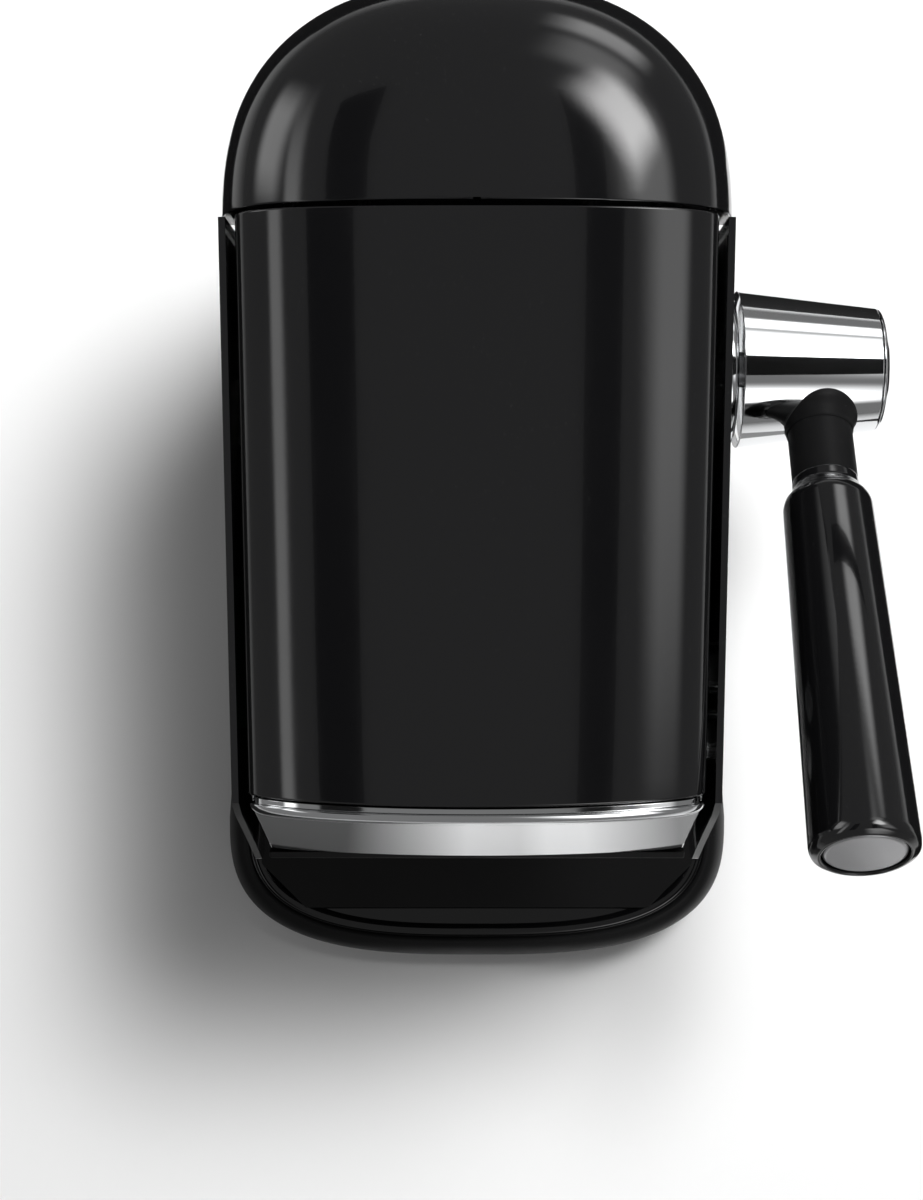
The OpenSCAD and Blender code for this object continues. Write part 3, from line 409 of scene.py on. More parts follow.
def satin_plastic(name, colour, rough, sheen, dust):
    """A fine-grained satin moulding; sheen is how strongly it mirrors the room."""
    material, shader = finish_material(name, colour, (0.09, 0.09, 0.09), rough, 0.05, dust)
    shader.inputs["Specular IOR Level"].default_value = sheen
    grain = noise_node(material.node_tree, 1600, 2)
    add_bump(material, shader, grain.outputs["Fac"], 0.12, 0.0002)
    return material


satin_black = satin_plastic("satin_black", (0.0045, 0.0045, 0.0047), 0.5, 0.16, 0.3)
plinth.data.materials.clear()
plinth.data.materials.append(satin_black)
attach(plinth, "machine")
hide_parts("base_shell")

# Drip tray: the whole rounded front of the base is one moulded drawer. Its top is a step
# down to a ledge with cut corners, on which the grid lies over the basin.
tray_rear_y = rear_cut_y - 0.0005
grid_half = (grid_high.x - grid_low.x) / 2
grid_corner = 0.018
basin_floor_z = tray_low.z + 0.0042


def grid_outline(inset, steps=12):
    """The grid's outline: straight front with its corners cut at 45 degrees, from rear left."""
    half = grid_half - inset
    front = grid_low.y + inset
    rear = grid_high.y - inset
    corners = [(-half, rear), (-half, front + grid_corner), (-half + grid_corner, front),
               (half - grid_corner, front), (half, front + grid_corner), (half, rear)]
    shares = (steps, steps, 3 * steps, steps, steps)
    points = []
    for (x0, y0), (x1, y1), share in zip(corners, corners[1:], shares):
        points += [(x0 + (x1 - x0) * i / share, y0 + (y1 - y0) * i / share) for i in range(share)]
    points.append(corners[-1])
    points += [(half - 2 * half * i / (3 * steps), rear) for i in range(1, 3 * steps)]
    return [(middle_x + x, y) for x, y in points]


def tray_outline(inset, count):
    """The tray's outer outline with as many points as the grid's, from rear left."""
    half = foot_half(tray_rear_y) - inset
    side = [(middle_x - foot_half(widest_y) + inset + (foot_half(widest_y) - foot_half(tray_rear_y))
             * (1 - i / 6), tray_rear_y + (widest_y - tray_rear_y) * i / 6) for i in range(6)]
    front = base_front(inset)
    other_side = [(2 * middle_x - x, y) for x, y in reversed(side)]
    rear_steps = count - len(side) * 2 - len(front)
    rear = [(middle_x + half - 2 * half * i / (rear_steps + 1), tray_rear_y) for i in range(1, rear_steps + 1)]
    return side + front + other_side + rear


def paint(piece, count, first_ring, last_ring, index):
    """Gives the faces between two rings of a drawn-out skin a material index."""
    for polygon in piece.data.polygons:
        if first_ring <= min(vertex // count for vertex in polygon.vertices) < last_ring:
            polygon.material_index = index


def gloss_lacquer(name, peel):
    """Deep black lacquer: a near-black ground under a clear coat with a trace of orange peel."""
    material, shader = finish_material(name, (0.0030, 0.0030, 0.0033), (0.05, 0.05, 0.05), 0.12, 0.03, 0.3)
    shader.inputs["Specular IOR Level"].default_value = 0.5
    shader.inputs["Coat Weight"].default_value = 0.5
    shader.inputs["Coat Roughness"].default_value = 0.03
    peel_noise = noise_node(material.node_tree, 420, 1)
    add_bump(material, shader, peel_noise.outputs["Fac"], peel, 0.0002)
    return material


ledge = grid_outline(-0.0004)
count = len(ledge)
skirt = shoulder(12)[:-1] + [(skirt_top_z, shoulder_in - 0.0002)]
rim = [(deck_z - 0.0016, 0.0098), (deck_z - 0.0016, 0.0104), (deck_z - 0.0004, 0.0107), (deck_z, 0.0114),
       (deck_z, 0.0132), (deck_z - 0.0004, 0.0140), (deck_z - 0.0016, 0.0150)]
tray = draw_out("drip_tray_drawer",
                [at_height(tray_outline(0.0015, count), tray_low.z + 0.0001),
                 at_height(tray_outline(0, count), tray_low.z + 0.0012)]
                + [at_height(tray_outline(inset, count), z) for z, inset in skirt + rim]
                + [at_height(ledge, deck_z - 0.0018),
                   at_height(ledge, grid_low.z),
                   at_height(grid_outline(0.005), grid_low.z),
                   at_height(grid_outline(0.0055), basin_floor_z)])
lacquer = gloss_lacquer("black_lacquer", 0.03)
tray.data.materials.clear()
tray.data.materials.append(satin_black)
tray.data.materials.append(lacquer)
paint(tray, count, 2 + len(skirt), 3 + len(skirt) + len(rim), 1)
finish_edges(tray, 0.0003, 40)
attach(tray, "tray_drawer")
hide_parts("drip_tray")

# Drip grid: a satin black pressing laid in the tray, slotted over the basin where the cup
# stands; its front corners are cut to match the ledge.
bpy.ops.object.select_all(action="DESELECT")
grid_plate = draw_out("drip_grid_plate",
                      [at_height(grid_outline(0), z) for z in (grid_low.z, grid_high.z)])
slot_low_y, slot_high_y = grid_low.y + 0.024, grid_high.y - 0.008
for i in range(11):
    bpy.ops.object.select_all(action="DESELECT")
    bpy.ops.mesh.primitive_cube_add(size=1, location=(middle_x - 0.05 + 0.01 * i, (slot_low_y + slot_high_y) / 2,
                                                      deck_z))
    cutter = bpy.context.object
    bpy.ops.transform.resize(value=(0.004, slot_high_y - slot_low_y, 0.03))
    rounding = cutter.modifiers.new("round_ends", "BEVEL")
    rounding.width = 0.0018
    rounding.segments = 5
    bpy.ops.object.modifier_apply(modifier=rounding.name)
    cut = grid_plate.modifiers.new("slot", "BOOLEAN")
    cut.object = cutter
    cut.solver = "EXACT"
    bpy.context.view_layer.objects.active = grid_plate
    bpy.ops.object.modifier_apply(modifier=cut.name)
    bpy.data.objects.remove(cutter)
grid_plate.data.materials.clear()
grid_plate.data.materials.append(satin_black)
finish_edges(grid_plate, 0.0003, 40)
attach(grid_plate, "grid")
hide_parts("drip_grid")

# Side panels: two black lacquered skins that carry the head and flare out to the base.
# Each is moulded in one piece with the column and clipped to the inner frame.
panel_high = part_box("left_side_panel")[1]
rear_y = panel_high.y
hood_front_y = hood_low.y
edge_half = 0.072
edge_taper = 0.0025
edge_rear_z = 0.308
edge_slope = 0.013
flare_top_z = 0.290
panel_wall = 0.002
column_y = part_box("bay_panel")[0].y
head_floor_z = 0.205
nose_low_y = hood_front_y - 0.026
chin_radius = 0.017


def forward(y):
    """How far a place is from the seam (0) to the hood's front edge (1)."""
    return (seam_y - y) / (seam_y - hood_front_y)


def edge_at(y):
    """Half width over the panels' top edges at y, and the height of those edges."""
    return edge_half - edge_taper * forward(y), edge_rear_z - edge_slope * forward(y)


def panel_half(y, z):
    """Half width over the side panels, which flare out towards the base."""
    flare = max(0.0, (flare_top_z - z) / (flare_top_z - deck_z))
    top = edge_at(y)[0]
    return top + (foot_half(y) - shoulder_in - top) * flare ** 3


def arc_points(centre_y, centre_z, radius, first, last, steps):
    """Points of an arc in the side view."""
    return [(centre_y + radius * cos(radians(first + (last - first) * i / steps)),
             centre_z + radius * sin(radians(first + (last - first) * i / steps))) for i in range(steps + 1)]


# The front of the C: foot fillet, column, roof of the cup bay, chin and the slanting nose
nose_top = (hood_front_y - 0.002, edge_at(hood_front_y)[1])
profile = arc_points(column_y - 0.012, deck_z + 0.012, 0.012, -90, 0, 8)
profile += [(column_y, 0.057 + 0.126 * i / 14) for i in range(1, 14)]
profile += arc_points(column_y - 0.022, head_floor_z - 0.022, 0.022, 0, 90, 10)
profile += arc_points(nose_low_y + chin_radius, head_floor_z + chin_radius + 0.002, chin_radius, 262, 165, 12)
chin_end = profile[-1]
profile += [(chin_end[0] + (nose_top[0] - chin_end[0]) * i / 8,
             chin_end[1] + (nose_top[1] - chin_end[1]) * i / 8) for i in range(1, 9)]
profile[-1] = (hood_front_y - 0.0005, nose_top[1])


def side_panel(name, side):
    """One side panel as a sheet of rows fanned between its front outline and its rear edge."""
    rows, columns = len(profile), 25
    bpy.ops.object.select_all(action="DESELECT")
    bpy.ops.mesh.primitive_grid_add(x_subdivisions=columns - 1, y_subdivisions=rows - 1, size=1)
    panel = bpy.context.object
    panel.name = name
    travelled = [0.0]
    for (y0, z0), (y1, z1) in zip(profile, profile[1:]):
        travelled.append(travelled[-1] + Vector((y1 - y0, z1 - z0)).length * (0.35 if z1 < 0.215 else 1))
    for row, (front_y, front_z) in enumerate(profile):
        share = travelled[row] / travelled[-1]
        back_z = deck_z + (edge_at(rear_y)[1] - deck_z) * share
        for column in range(columns):
            along = column / (columns - 1)
            y = front_y + (rear_y - front_y) * along
            z = front_z + (back_z - front_z) * along
            if row == rows - 1:
                z = edge_at(y)[1]
            panel.data.vertices[row * columns + column].co = (middle_x + side * panel_half(y, z), y, z)
    if side > 0:
        bpy.ops.object.mode_set(mode="EDIT")
        bpy.ops.mesh.select_all(action="SELECT")
        bpy.ops.mesh.flip_normals()
        bpy.ops.object.mode_set(mode="OBJECT")
    wall = panel.modifiers.new("wall", "SOLIDIFY")
    wall.thickness = panel_wall
    wall.offset = -1
    bpy.ops.object.modifier_apply(modifier=wall.name)
    return panel


left_panel = side_panel("left_side_panel_skin", -1)
finish_edges(left_panel, 0.0008, 50, 4, True)
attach(left_panel, "machine")
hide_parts("left_side_panel")

right_panel = side_panel("right_side_panel_skin", 1)
lever_place = Vector((0, 0.0625, 0.190))
button_z = 0.250
button_ys = (hood_front_y + 0.016, hood_front_y + 0.037)
holes = [(lever_place.y, lever_place.z, 0.0273)] + [(y, button_z, 0.0085) for y in button_ys]
for hole_y, hole_z, hole_radius in holes:
    bpy.ops.object.select_all(action="DESELECT")
    bpy.ops.mesh.primitive_cylinder_add(vertices=96, radius=hole_radius, depth=0.1, rotation=(0, pi / 2, 0),
                                        location=(middle_x + 0.08, hole_y, hole_z))
    cutter = bpy.context.object
    cut = right_panel.modifiers.new("hole", "BOOLEAN")
    cut.object = cutter
    cut.solver = "EXACT"
    bpy.context.view_layer.objects.active = right_panel
    bpy.ops.object.modifier_apply(modifier=cut.name)
    bpy.data.objects.remove(cutter)
finish_edges(right_panel, 0.0008, 50, 4, True)
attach(right_panel, "machine")
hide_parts("right_side_panel")
for panel in (left_panel, right_panel):
    panel.data.materials.clear()
    panel.data.materials.append(lacquer)

# Hood: the arched lacquered cover of the sliding head, one moulding with short skirts that
# drop inside the side panels' edges.
nose_bow = 0.0024
hood_gap = 0.001
hood_wall = 0.003
hood_skirt = 0.005


def arch(y, inset, steps=64):
    """The hood's arch at y from left to right, moved in by inset, with its skirt ends."""
    half, edge_z = edge_at(y)
    half -= panel_wall + hood_gap + inset
    points = [(x, edge_z + z) for x, z in superellipse(half, 0.020 - inset, 2.8, 180, 0, steps)]
    low = edge_z - hood_skirt
    return [(points[0][0], low)] + points + [(points[-1][0], low)]


def bowed(points, y):
    """Points of a cross ring set at y, with their ends set back as the nose's bow asks."""
    half = edge_at(hood_front_y)[0]
    share = max(0.0, min(1.0, (hood_front_y + 0.03 - y) / 0.03))
    return [(middle_x + x, y + nose_bow * share * (x / half) ** 2, z) for x, z in points]


hood_rings = []
hood_ys = [hood_front_y + 0.0004 + (hood_high.y - hood_front_y - 0.0004) * i / 24 for i in range(25)]
for y in hood_ys:
    outer = arch(y, 0)
    inner = arch(y, hood_wall)
    hood_rings.append(bowed(outer + inner[::-1], y))
hood = draw_out("hood_cover", hood_rings)
finish_edges(hood, 0.0007, 40)
hood.data.materials.clear()
hood.data.materials.append(lacquer)
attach(hood, "head")
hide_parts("hood")

# Dome: the bullet-shaped lid of the water tank, moulded and lacquered to match the hood and
# closed by a flat rim at the seam.
rim_z = lid_low.z
dome_front_y = lid_low.y
dome_length = lid_high.y - dome_front_y
dome_half = (lid_high.x - lid_low.x) / 2
dome_rise = lid_high.z - rim_z


def dome_ring(inset, close):
    """One plan ring of the dome: close runs from 0 at the rim to 1 at the top."""
    shrink = 1 - close
    height = (1 - shrink ** 3.2) ** (1 / 3)
    half, length = (dome_half - inset) * shrink, (dome_length - 2 * inset) * shrink
    curve = superellipse(half, length, 2.4, 0, 180, 72)
    curve += [(-half + 2 * half * i / 24, 0) for i in range(1, 24)]
    return [(middle_x + x, dome_front_y + inset + y, rim_z + (dome_rise - inset) * height) for x, y in curve]


closing = [0, 0.0008, 0.003, 0.007, 0.013, 0.022, 0.034, 0.05, 0.07, 0.095, 0.125, 0.16, 0.2, 0.25, 0.3, 0.36,
           0.42, 0.49, 0.56, 0.64, 0.72, 0.8, 0.88, 0.95, 0.985]
dome = draw_out("tank_dome", [dome_ring(0.003, close) for close in reversed(closing[::2])]
                + [dome_ring(0, close) for close in closing])
finish_edges(dome, 0.0007, 50)
dome.data.materials.clear()
dome.data.materials.append(lacquer)
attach(dome, "tank_cover")
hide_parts("tank_lid")

# Nose: a chromed die-cast lip under the hood's front edge, and a flat chromed plate that
# slants back down to the chin. Both are screwed to the carriage from behind.
chin_z = 0.226
lip_profile = [(0.0002, 0.0016), (0.0018, 0.0016), (0.002, 0.0004)]
lip_profile += [(0.002 + 0.0032 * sin(pi / 2 * i / 10), 0.0002 + 0.0038 * (1 - cos(pi / 2 * i / 10)))
                for i in range(11)]
nose_rings = []
for reach, drop in lip_profile:
    y = hood_front_y - reach
    nose_rings.append([(middle_x + x, y + nose_bow * (x / edge_at(y)[0]) ** 2, z) for x, z in arch(y, drop)])
nose_lip = draw_out("nose_lip_chrome", nose_rings)
finish_edges(nose_lip, 0.0003, 60)

plate_half = edge_at(hood_front_y)[0] - panel_wall - hood_gap
plate_top = edge_at(hood_front_y)[1] - hood_skirt
plate_side = [(hood_front_y - 0.0042, plate_top - 0.0004), (nose_low_y + 0.0012, chin_z + 0.0016),
              (nose_low_y + 0.0026, chin_z), (nose_low_y + 0.006, chin_z), (hood_front_y + 0.001, plate_top - 0.0004)]
plate_rings = []
for i in range(33):
    x = plate_half * (2 * i / 32 - 1)
    plate_rings.append([(middle_x + x, y + nose_bow * (x / plate_half) ** 2, z) for y, z in plate_side])
nose_plate = draw_out("nose_plate_chrome", plate_rings)
finish_edges(nose_plate, 0.0006, 30)


def chrome_finish(name, rough, spread):
    """Polished chrome: a bright metal with a faint handling haze and a little dust."""
    material, shader = finish_material(name, (0.80, 0.81, 0.82), (0.35, 0.34, 0.33), rough, spread, 0.15, 1.0)
    return material


chrome = chrome_finish("chrome", 0.07, 0.02)
for piece, node in ((nose_lip, "nose_lip"), (nose_plate, "nose_plate")):
    piece.data.materials.clear()
    piece.data.materials.append(chrome)
    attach(piece, "head")
    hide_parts(node)

# Hub: a chromed cone that turns on the lever shaft, with a domed cap on its outer end and a
# fixed chromed ring between it and the side panel.
hub_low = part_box("lever_hub")[0]
cap_low, cap_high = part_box("hub_cap")
lever_y, lever_z = lever_place.y, lever_place.z
hub_in_radius, hub_out_radius = 0.0267, 0.0211
hub_face_x = cap_low.x + 0.003


def turned(name, outline, origin, axis, count=96):
    """A turned piece: outline is a list of (distance along the axis, radius) from end to end."""
    axis = Vector(axis).normalized()
    side = axis.orthogonal().normalized()
    other = axis.cross(side)
    rings = []
    for distance, radius in outline:
        centre = Vector(origin) + axis * distance
        rings.append([tuple(centre + (side * cos(2 * pi * i / count) + other * sin(2 * pi * i / count))
                            * max(radius, 0.00004)) for i in range(count)])
    return draw_out(name, rings)


def rounded_profile(points, radius, steps=4):
    """A profile with its inner corners rounded by short arcs."""
    out = [points[0]]
    for before, corner, after in zip(points, points[1:], points[2:]):
        here = Vector(corner)
        back, onward = Vector(before) - here, Vector(after) - here
        reach = min(radius, back.length / 2.2, onward.length / 2.2)
        start, end = here + back.normalized() * reach, here + onward.normalized() * reach
        for i in range(steps + 1):
            share = i / steps
            point = start * (1 - share) ** 2 + here * 2 * share * (1 - share) + end * share ** 2
            out.append(tuple(point))
    out.append(points[-1])
    return out


across_x = (1, 0, 0)
seat_x = middle_x + panel_half(lever_y, lever_z)
ring_profile = [(seat_x - 0.006, 0.008), (seat_x - 0.006, 0.0265), (hub_low.x - 0.0014, 0.0265),
                (hub_low.x - 0.0014, 0.008)]
hub_ring = turned("hub_seat_ring", rounded_profile(ring_profile, 0.003), (0, lever_y, lever_z), across_x)
finish_edges(hub_ring, 0, 40)

hub_profile = [(hub_low.x, 0.0063), (hub_low.x, hub_in_radius), (hub_face_x, hub_out_radius),
               (hub_face_x, 0.0063)]
hub = turned("lever_hub_cone", rounded_profile(hub_profile, 0.0005), (0, lever_y, lever_z), across_x)
finish_edges(hub, 0, 40)

cap_profile = [(hub_face_x + 0.0002, 0), (hub_face_x + 0.0002, hub_out_radius - 0.0002),
               (hub_face_x + 0.0012, hub_out_radius - 0.0006), (cap_high.x - 0.0004, hub_out_radius - 0.0036),
               (cap_high.x, 0.006), (cap_high.x, 0)]
hub_cap = turned("hub_end_cap", rounded_profile(cap_profile, 0.0012), (0, lever_y, lever_z), across_x)
finish_edges(hub_cap, 0, 40)

# Neck collar: a low black ring that closes the joint where the lever's neck enters the cone;
# its skirt runs down into the cone.
lever_tilt = radians(33)
lever_axis = (0, -cos(lever_tilt), sin(lever_tilt))
lever_x = middle_x + 0.1145
lever_origin = (lever_x, lever_y, lever_z)
collar_profile = [(0.017, 0.009), (0.017, 0.0142), (0.0205, 0.0138), (0.0232, 0.0122), (0.0258, 0.0113),
                  (0.0275, 0.0111), (0.0275, 0.009)]
collar = turned("neck_collar_ring", rounded_profile(collar_profile, 0.0016), lever_origin, lever_axis)
finish_edges(collar, 0, 40)
collar.data.materials.append(satin_black)
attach(collar, "lever")
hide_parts("neck_collar")
for piece, node, body in ((hub_ring, "escutcheon", "machine"), (hub, "lever_hub", "lever"),
                          (hub_cap, "hub_cap", "lever")):
    piece.data.materials.clear()
    piece.data.materials.append(chrome)
    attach(piece, body)
    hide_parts(node)

# Lever neck: a plain round bar, matt black, pressed into the collar and run into the grip.
neck_profile = [(0.016, 0.0087), (0.0272, 0.0087), (0.0274, 0.01075), (0.0474, 0.01075), (0.0474, 0.002)]
neck = turned("lever_neck_bar", rounded_profile(neck_profile, 0.0004), lever_origin, lever_axis)
finish_edges(neck, 0, 40)
neck.data.materials.clear()
neck.data.materials.append(satin_black)
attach(neck, "lever")
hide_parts("lever_neck")

# Grip: a black moulded sleeve with a soft shoulder, growing a little towards its end,
# where a spun aluminium disc is let in.
grip_start, lever_length, shoulder_length = 0.047, 0.182, 0.009
disc_radius = 0.0132
grip_profile = [(grip_start, 0.004), (grip_start, 0.01085), (grip_start + 0.0042, 0.0110),
                (grip_start + 0.0062, 0.0124), (grip_start + 0.0070, 0.0127),
                (grip_start + shoulder_length - 0.0008, 0.0139), (grip_start + shoulder_length + 0.0016, 0.0146),
                (lever_length - 0.0034, 0.0168), (lever_length - 0.0012, 0.0163),
                (lever_length, disc_radius + 0.0009), (lever_length, disc_radius),
                (lever_length - 0.003, disc_radius), (lever_length - 0.003, 0)]
grip = turned("lever_grip_sleeve", rounded_profile(grip_profile, 0.001), lever_origin, lever_axis)
finish_edges(grip, 0, 40)
grip_black = gloss_lacquer("gloss_black", 0.05)
grip.data.materials.clear()
grip.data.materials.append(grip_black)
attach(grip, "lever")
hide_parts("lever_grip")

disc_profile = [(lever_length - 0.0026, 0), (lever_length - 0.0026, disc_radius - 0.0003),
                (lever_length - 0.0012, disc_radius - 0.0003), (lever_length - 0.0004, disc_radius - 0.0014),
                (lever_length - 0.0002, 0.004), (lever_length - 0.0002, 0)]
disc = turned("grip_end_disc", rounded_profile(disc_profile, 0.0008), lever_origin, lever_axis)
finish_edges(disc, 0, 40)
satin_silver = finish_material("satin_silver", (0.5, 0.5, 0.51), (0.3, 0.3, 0.3), 0.3, 0.04, 0.1, 1.0)[0]
disc.data.materials.clear()
disc.data.materials.append(satin_silver)
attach(disc, "lever")
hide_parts("grip_disc")

# Water tank: a smoked clear moulding behind the column, flat in front and round at the
# back. It lifts out, and its valve opens on the socket in the deck.
tank_low, tank_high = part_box("water_tank")
tank_base_z = deck_z + 0.008
tank_half = (tank_high.x - tank_low.x) / 2
tank_length = tank_high.y - tank_low.y
tank_wall = 0.0025
socket_y = seam_y + 0.032


def tank_outline(inset):
    """Plan of the tank, moved in by inset."""
    curve = superellipse(tank_half - inset, tank_length - inset * 2, 2.4, 0, 180, 72)
    curve += [(-(tank_half - inset) * (1 - i / 12), 0) for i in range(1, 24)]
    return [(middle_x + x, tank_low.y + inset + y) for x, y in curve]


tank_rings = [at_height(tank_outline(inset), z) for z, inset in (
    (tank_base_z, 0.003), (tank_base_z + 0.0008, 0.0008), (tank_base_z + 0.003, 0), (tank_high.z - 0.0004, 0),
    (tank_high.z, 0.0004), (tank_high.z, tank_wall - 0.0004), (tank_high.z - 0.0004, tank_wall),
    (tank_base_z + tank_wall + 0.001, tank_wall), (tank_base_z + tank_wall, tank_wall + 0.001))]
tank = draw_out("water_tank_body", tank_rings)
tank_spigot = turned("tank_spigot", rounded_profile([(deck_z + 0.0005, 0.004), (deck_z + 0.0005, 0.009),
                                                    (tank_base_z + 0.0006, 0.009), (tank_base_z + 0.0006, 0.004)],
                                                   0.0006), (middle_x, socket_y, 0), (0, 0, 1), 64)
bpy.ops.object.select_all(action="DESELECT")
tank_spigot.select_set(True)
tank.select_set(True)
bpy.context.view_layer.objects.active = tank
bpy.ops.object.join()
smoked, smoked_shader = finish_material("smoked_plastic", (0.012, 0.013, 0.014), (0.1, 0.1, 0.1), 0.06, 0.02, 0.25)
smoked_shader.inputs["Alpha"].default_value = 0.82
tank.data.materials.clear()
tank.data.materials.append(smoked)
finish_edges(tank, 0, 40)
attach(tank, "tank")
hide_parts("water_tank")

# Cup bay: the satin black roof that carries the spout, and the column's front panel with
# the mouth of the used-capsule container in it.


def roof_path():
    """Side view of the roof panel's outer face, from the column to the chin."""
    points = arc_points(column_y - 0.022, head_floor_z - 0.022, 0.022, 5, 90, 10)
    points += arc_points(nose_low_y + chin_radius, head_floor_z + chin_radius + 0.002, chin_radius, 262, 180, 10)
    return points


roof_rings = []
for i in range(25):
    x = 2 * i / 24 - 1
    outer = [(middle_x + x * (panel_half(y, z) - panel_wall - 0.0003), y, z) for y, z in roof_path()]
    outer = [point for point in outer if point[2] < chin_z - 0.001]
    inner = [(px, y + 0.0024, z + 0.0024) for px, y, z in reversed(outer)]
    roof_rings.append(outer + inner)
roof = draw_out("head_roof_panel", roof_rings)
finish_edges(roof, 0.0004, 40)
mouth_half, mouth_top = 0.041, 0.152
bay_rings = []
for z_share in range(25):
    z = deck_z + (head_floor_z - 0.004 - deck_z) * z_share / 24
    half = panel_half(column_y, z) - panel_wall - 0.0003
    bay_rings.append([(middle_x + x, y, z) for x, y in ((-half, column_y), (half, column_y),
                                                         (half, column_y + 0.0025), (-half, column_y + 0.0025))])
bay_panel = draw_out("bay_front_panel", bay_rings)
bpy.ops.object.select_all(action="DESELECT")
bpy.ops.mesh.primitive_cube_add(size=1, location=(middle_x, column_y, mouth_top / 2))
cutter = bpy.context.object
bpy.ops.transform.resize(value=(2 * mouth_half, 0.03, mouth_top))
cut = bay_panel.modifiers.new("mouth", "BOOLEAN")
cut.object = cutter
cut.solver = "EXACT"
bpy.context.view_layer.objects.active = bay_panel
bpy.ops.object.modifier_apply(modifier=cut.name)
bpy.data.objects.remove(cutter)
finish_edges(bay_panel, 0.0004, 40)
for piece, node in ((roof, "head_floor"), (bay_panel, "bay_panel")):
    piece.data.materials.clear()
    piece.data.materials.append(satin_black)
    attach(piece, "machine")
    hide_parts(node)

# Spout: a chromed casting pushed up through the roof, with a round flange and two nozzles.
spout_y = -0.0865
spout_place = (middle_x, spout_y, head_floor_z)
spout = turned("spout_body", rounded_profile([(0.006, 0.0062), (0.006, 0.0087), (-0.001, 0.0087), (-0.001, 0.012),
                                              (-0.009, 0.0116), (-0.0155, 0.0085), (-0.016, 0.002)], 0.0012),
               spout_place, (0, 0, 1), 64)
nozzles = [turned("spout_nozzle", rounded_profile([(-0.010, 0.004), (-0.0195, 0.004), (-0.020, 0.0036),
                                                   (-0.020, 0.002), (-0.012, 0.002)], 0.0003),
                  (middle_x + side * 0.007, spout_y, head_floor_z), (0, 0, 1), 48) for side in (-1, 1)]
bpy.ops.object.select_all(action="DESELECT")
for piece in nozzles + [spout]:
    piece.select_set(True)
bpy.context.view_layer.objects.active = spout
bpy.ops.object.join()
spout.data.materials.clear()
spout.data.materials.append(chrome)
finish_edges(spout, 0, 40)
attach(spout, "machine")
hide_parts("coffee_spout")

# Brew buttons: two satin discs in one chromed bezel each, low on the head's right side.
button_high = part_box("small_cup_button")[1]
button_face_x = button_high.x
across_out = (1, 0, 0)
bezels = []
for y, node, body in zip(button_ys, ("small_cup_button", "large_cup_button"), ("small_button", "large_button")):
    place = (button_face_x, y, button_z)
    button = turned(node + "_cap", rounded_profile([(-0.010, 0.001), (-0.010, 0.003), (-0.0075, 0.003),
                                                    (-0.0075, 0.0069), (-0.0004, 0.0069), (-0.0001, 0.0058),
                                                    (-0.0006, 0.001)], 0.0006), place, across_out, 64)
    button.data.materials.clear()
    button.data.materials.append(satin_silver)
    finish_edges(button, 0, 40)
    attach(button, body)
    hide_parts(node)
    bezels.append(turned("button_bezel_ring", rounded_profile(
        [(-0.008, 0.00725), (-0.008, 0.0098), (-0.0062, 0.0098), (-0.0062, 0.0085), (-0.0005, 0.0085),
         (-0.0005, 0.00725), (-0.008, 0.00725)], 0.0004), place, across_out, 64))
bpy.ops.object.select_all(action="DESELECT")
for piece in bezels:
    piece.select_set(True)
bpy.context.view_layer.objects.active = bezels[0]
bpy.ops.object.join()
bezels[0].data.materials.clear()
bezels[0].data.materials.append(chrome)
finish_edges(bezels[0], 0, 40)
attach(bezels[0], "machine")
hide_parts("button_bezel")

# Feet and small fixings: four soft rubber pads under the base, the pan they are set in and
# the bush that the mains cord leaves through.
def grainy_material(name, colour, rough, dust, metallic=0.0, bump=0.2, scale=700):
    """A working finish: haze in its roughness, dust in its colour and a fine grain in its surface."""
    light = tuple(min(1.0, channel * 1.5 + 0.05) for channel in colour)
    material, shader = finish_material(name, colour, light, rough, 0.08, dust, metallic)
    grain = noise_node(material.node_tree, scale, 3, 0.6)
    add_bump(material, shader, grain.outputs["Fac"], bump, 0.0003)
    return material


rubber = grainy_material("rubber", (0.012, 0.012, 0.012), 0.85, 0.7)
dark_plastic = grainy_material("dark_plastic", (0.02, 0.02, 0.021), 0.55, 0.5)
white_plastic = grainy_material("white_plastic", (0.62, 0.61, 0.57), 0.45, 0.5)
hose_rubber = grainy_material("hose", (0.5, 0.49, 0.45), 0.5, 0.4)
turned_bronze = grainy_material("bronze", (0.55, 0.38, 0.17), 0.3, 0.3, 1.0, 0.15, 300)
cast_aluminium = grainy_material("aluminium", (0.55, 0.55, 0.56), 0.5, 0.4, 1.0, 0.5, 500)
board_green = grainy_material("circuit_board", (0.02, 0.12, 0.05), 0.4, 0.4)

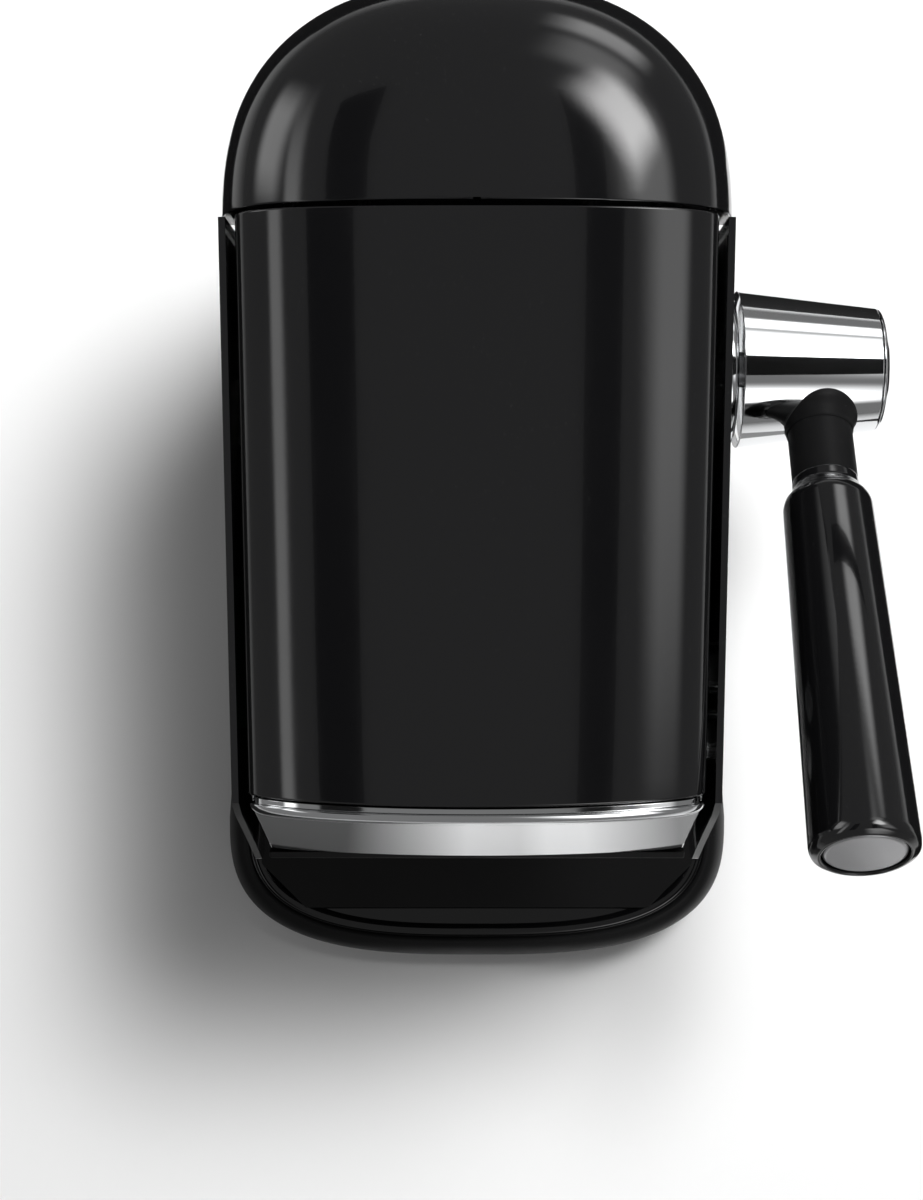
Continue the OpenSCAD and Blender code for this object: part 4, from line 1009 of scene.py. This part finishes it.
# Steel works: pressed, turned and brushed parts; their brushing runs along the machine.
brushed_grain, brushed_in, brushed_out = new_group("brushed_grain", {"Scale": 60.0}, ["Height", "Wear"])
brush_place = brushed_grain.nodes.new("ShaderNodeTexCoord")
brush_stretch = brushed_grain.nodes.new("ShaderNodeMapping")
brush_stretch.inputs["Scale"].default_value = (20, 1, 20)
brush_noise = brushed_grain.nodes.new("ShaderNodeTexNoise")
brush_noise.inputs["Detail"].default_value = 4
brushed_grain.links.new(brush_place.outputs["Object"], brush_stretch.inputs["Vector"])
brushed_grain.links.new(brush_stretch.outputs["Vector"], brush_noise.inputs["Vector"])
brushed_grain.links.new(brushed_in.outputs["Scale"], brush_noise.inputs["Scale"])
brushed_grain.links.new(brush_noise.outputs["Fac"], brushed_out.inputs["Height"])
brushed_grain.links.new(range_node(brushed_grain, brush_noise.outputs["Fac"], 0.3, 0.7, 0.22, 0.42),
                        brushed_out.inputs["Wear"])
steel, steel_shader = finish_material("steel", (0.46, 0.46, 0.47), (0.3, 0.29, 0.28), 0.32, 0.06, 0.3, 1.0)
brushing = add_group(steel, brushed_grain, Scale=60.0)
add_bump(steel, steel_shader, brushing.outputs["Height"], 0.25, 0.0002)
steel.node_tree.links.new(brushing.outputs["Wear"], steel_shader.inputs["Roughness"])

inside_finishes = {
    "rubber_feet": rubber, "pump_mounts": rubber, "brew_seal": rubber, "socket_seal": rubber,
    "base_pan": satin_black, "cord_gland": satin_black, "capsule_container": satin_black,
    "rear_bulkhead": satin_black, "capsule_deck": dark_plastic, "coffee_pipe": dark_plastic,
    "capsule_chute": dark_plastic, "feed_gland": dark_plastic, "button_switches": dark_plastic,
    "tank_socket": dark_plastic, "hood_shoes": white_plastic, "flow_meter": white_plastic,
    "tank_valve": white_plastic, "brew_frame": steel, "head_rails": steel, "head_carriage": steel,
    "lever_shaft": steel, "right_crank": steel, "left_crank": steel, "left_stub_shaft": steel,
    "base_screws": steel, "hub_screw": steel, "pump": steel, "cage_needles": steel,
    "thermoblock": cast_aluminium, "extraction_plate": cast_aluminium, "capsule_cage": cast_aluminium,
    "shaft_bushes": turned_bronze, "feed_tube": turned_bronze, "cold_hose": hose_rubber,
    "pressure_hose": hose_rubber, "hot_hose": hose_rubber, "control_board": board_green,
}
for node, material in inside_finishes.items():
    inside_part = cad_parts[node]
    inside_part.data.materials.clear()
    inside_part.data.materials.append(material)
    rounding = inside_part.modifiers.new("edge_round", "BEVEL")
    rounding.width = 0.0003
    rounding.segments = 2
    rounding.limit_method = "ANGLE"
    rounding.angle_limit = radians(35)
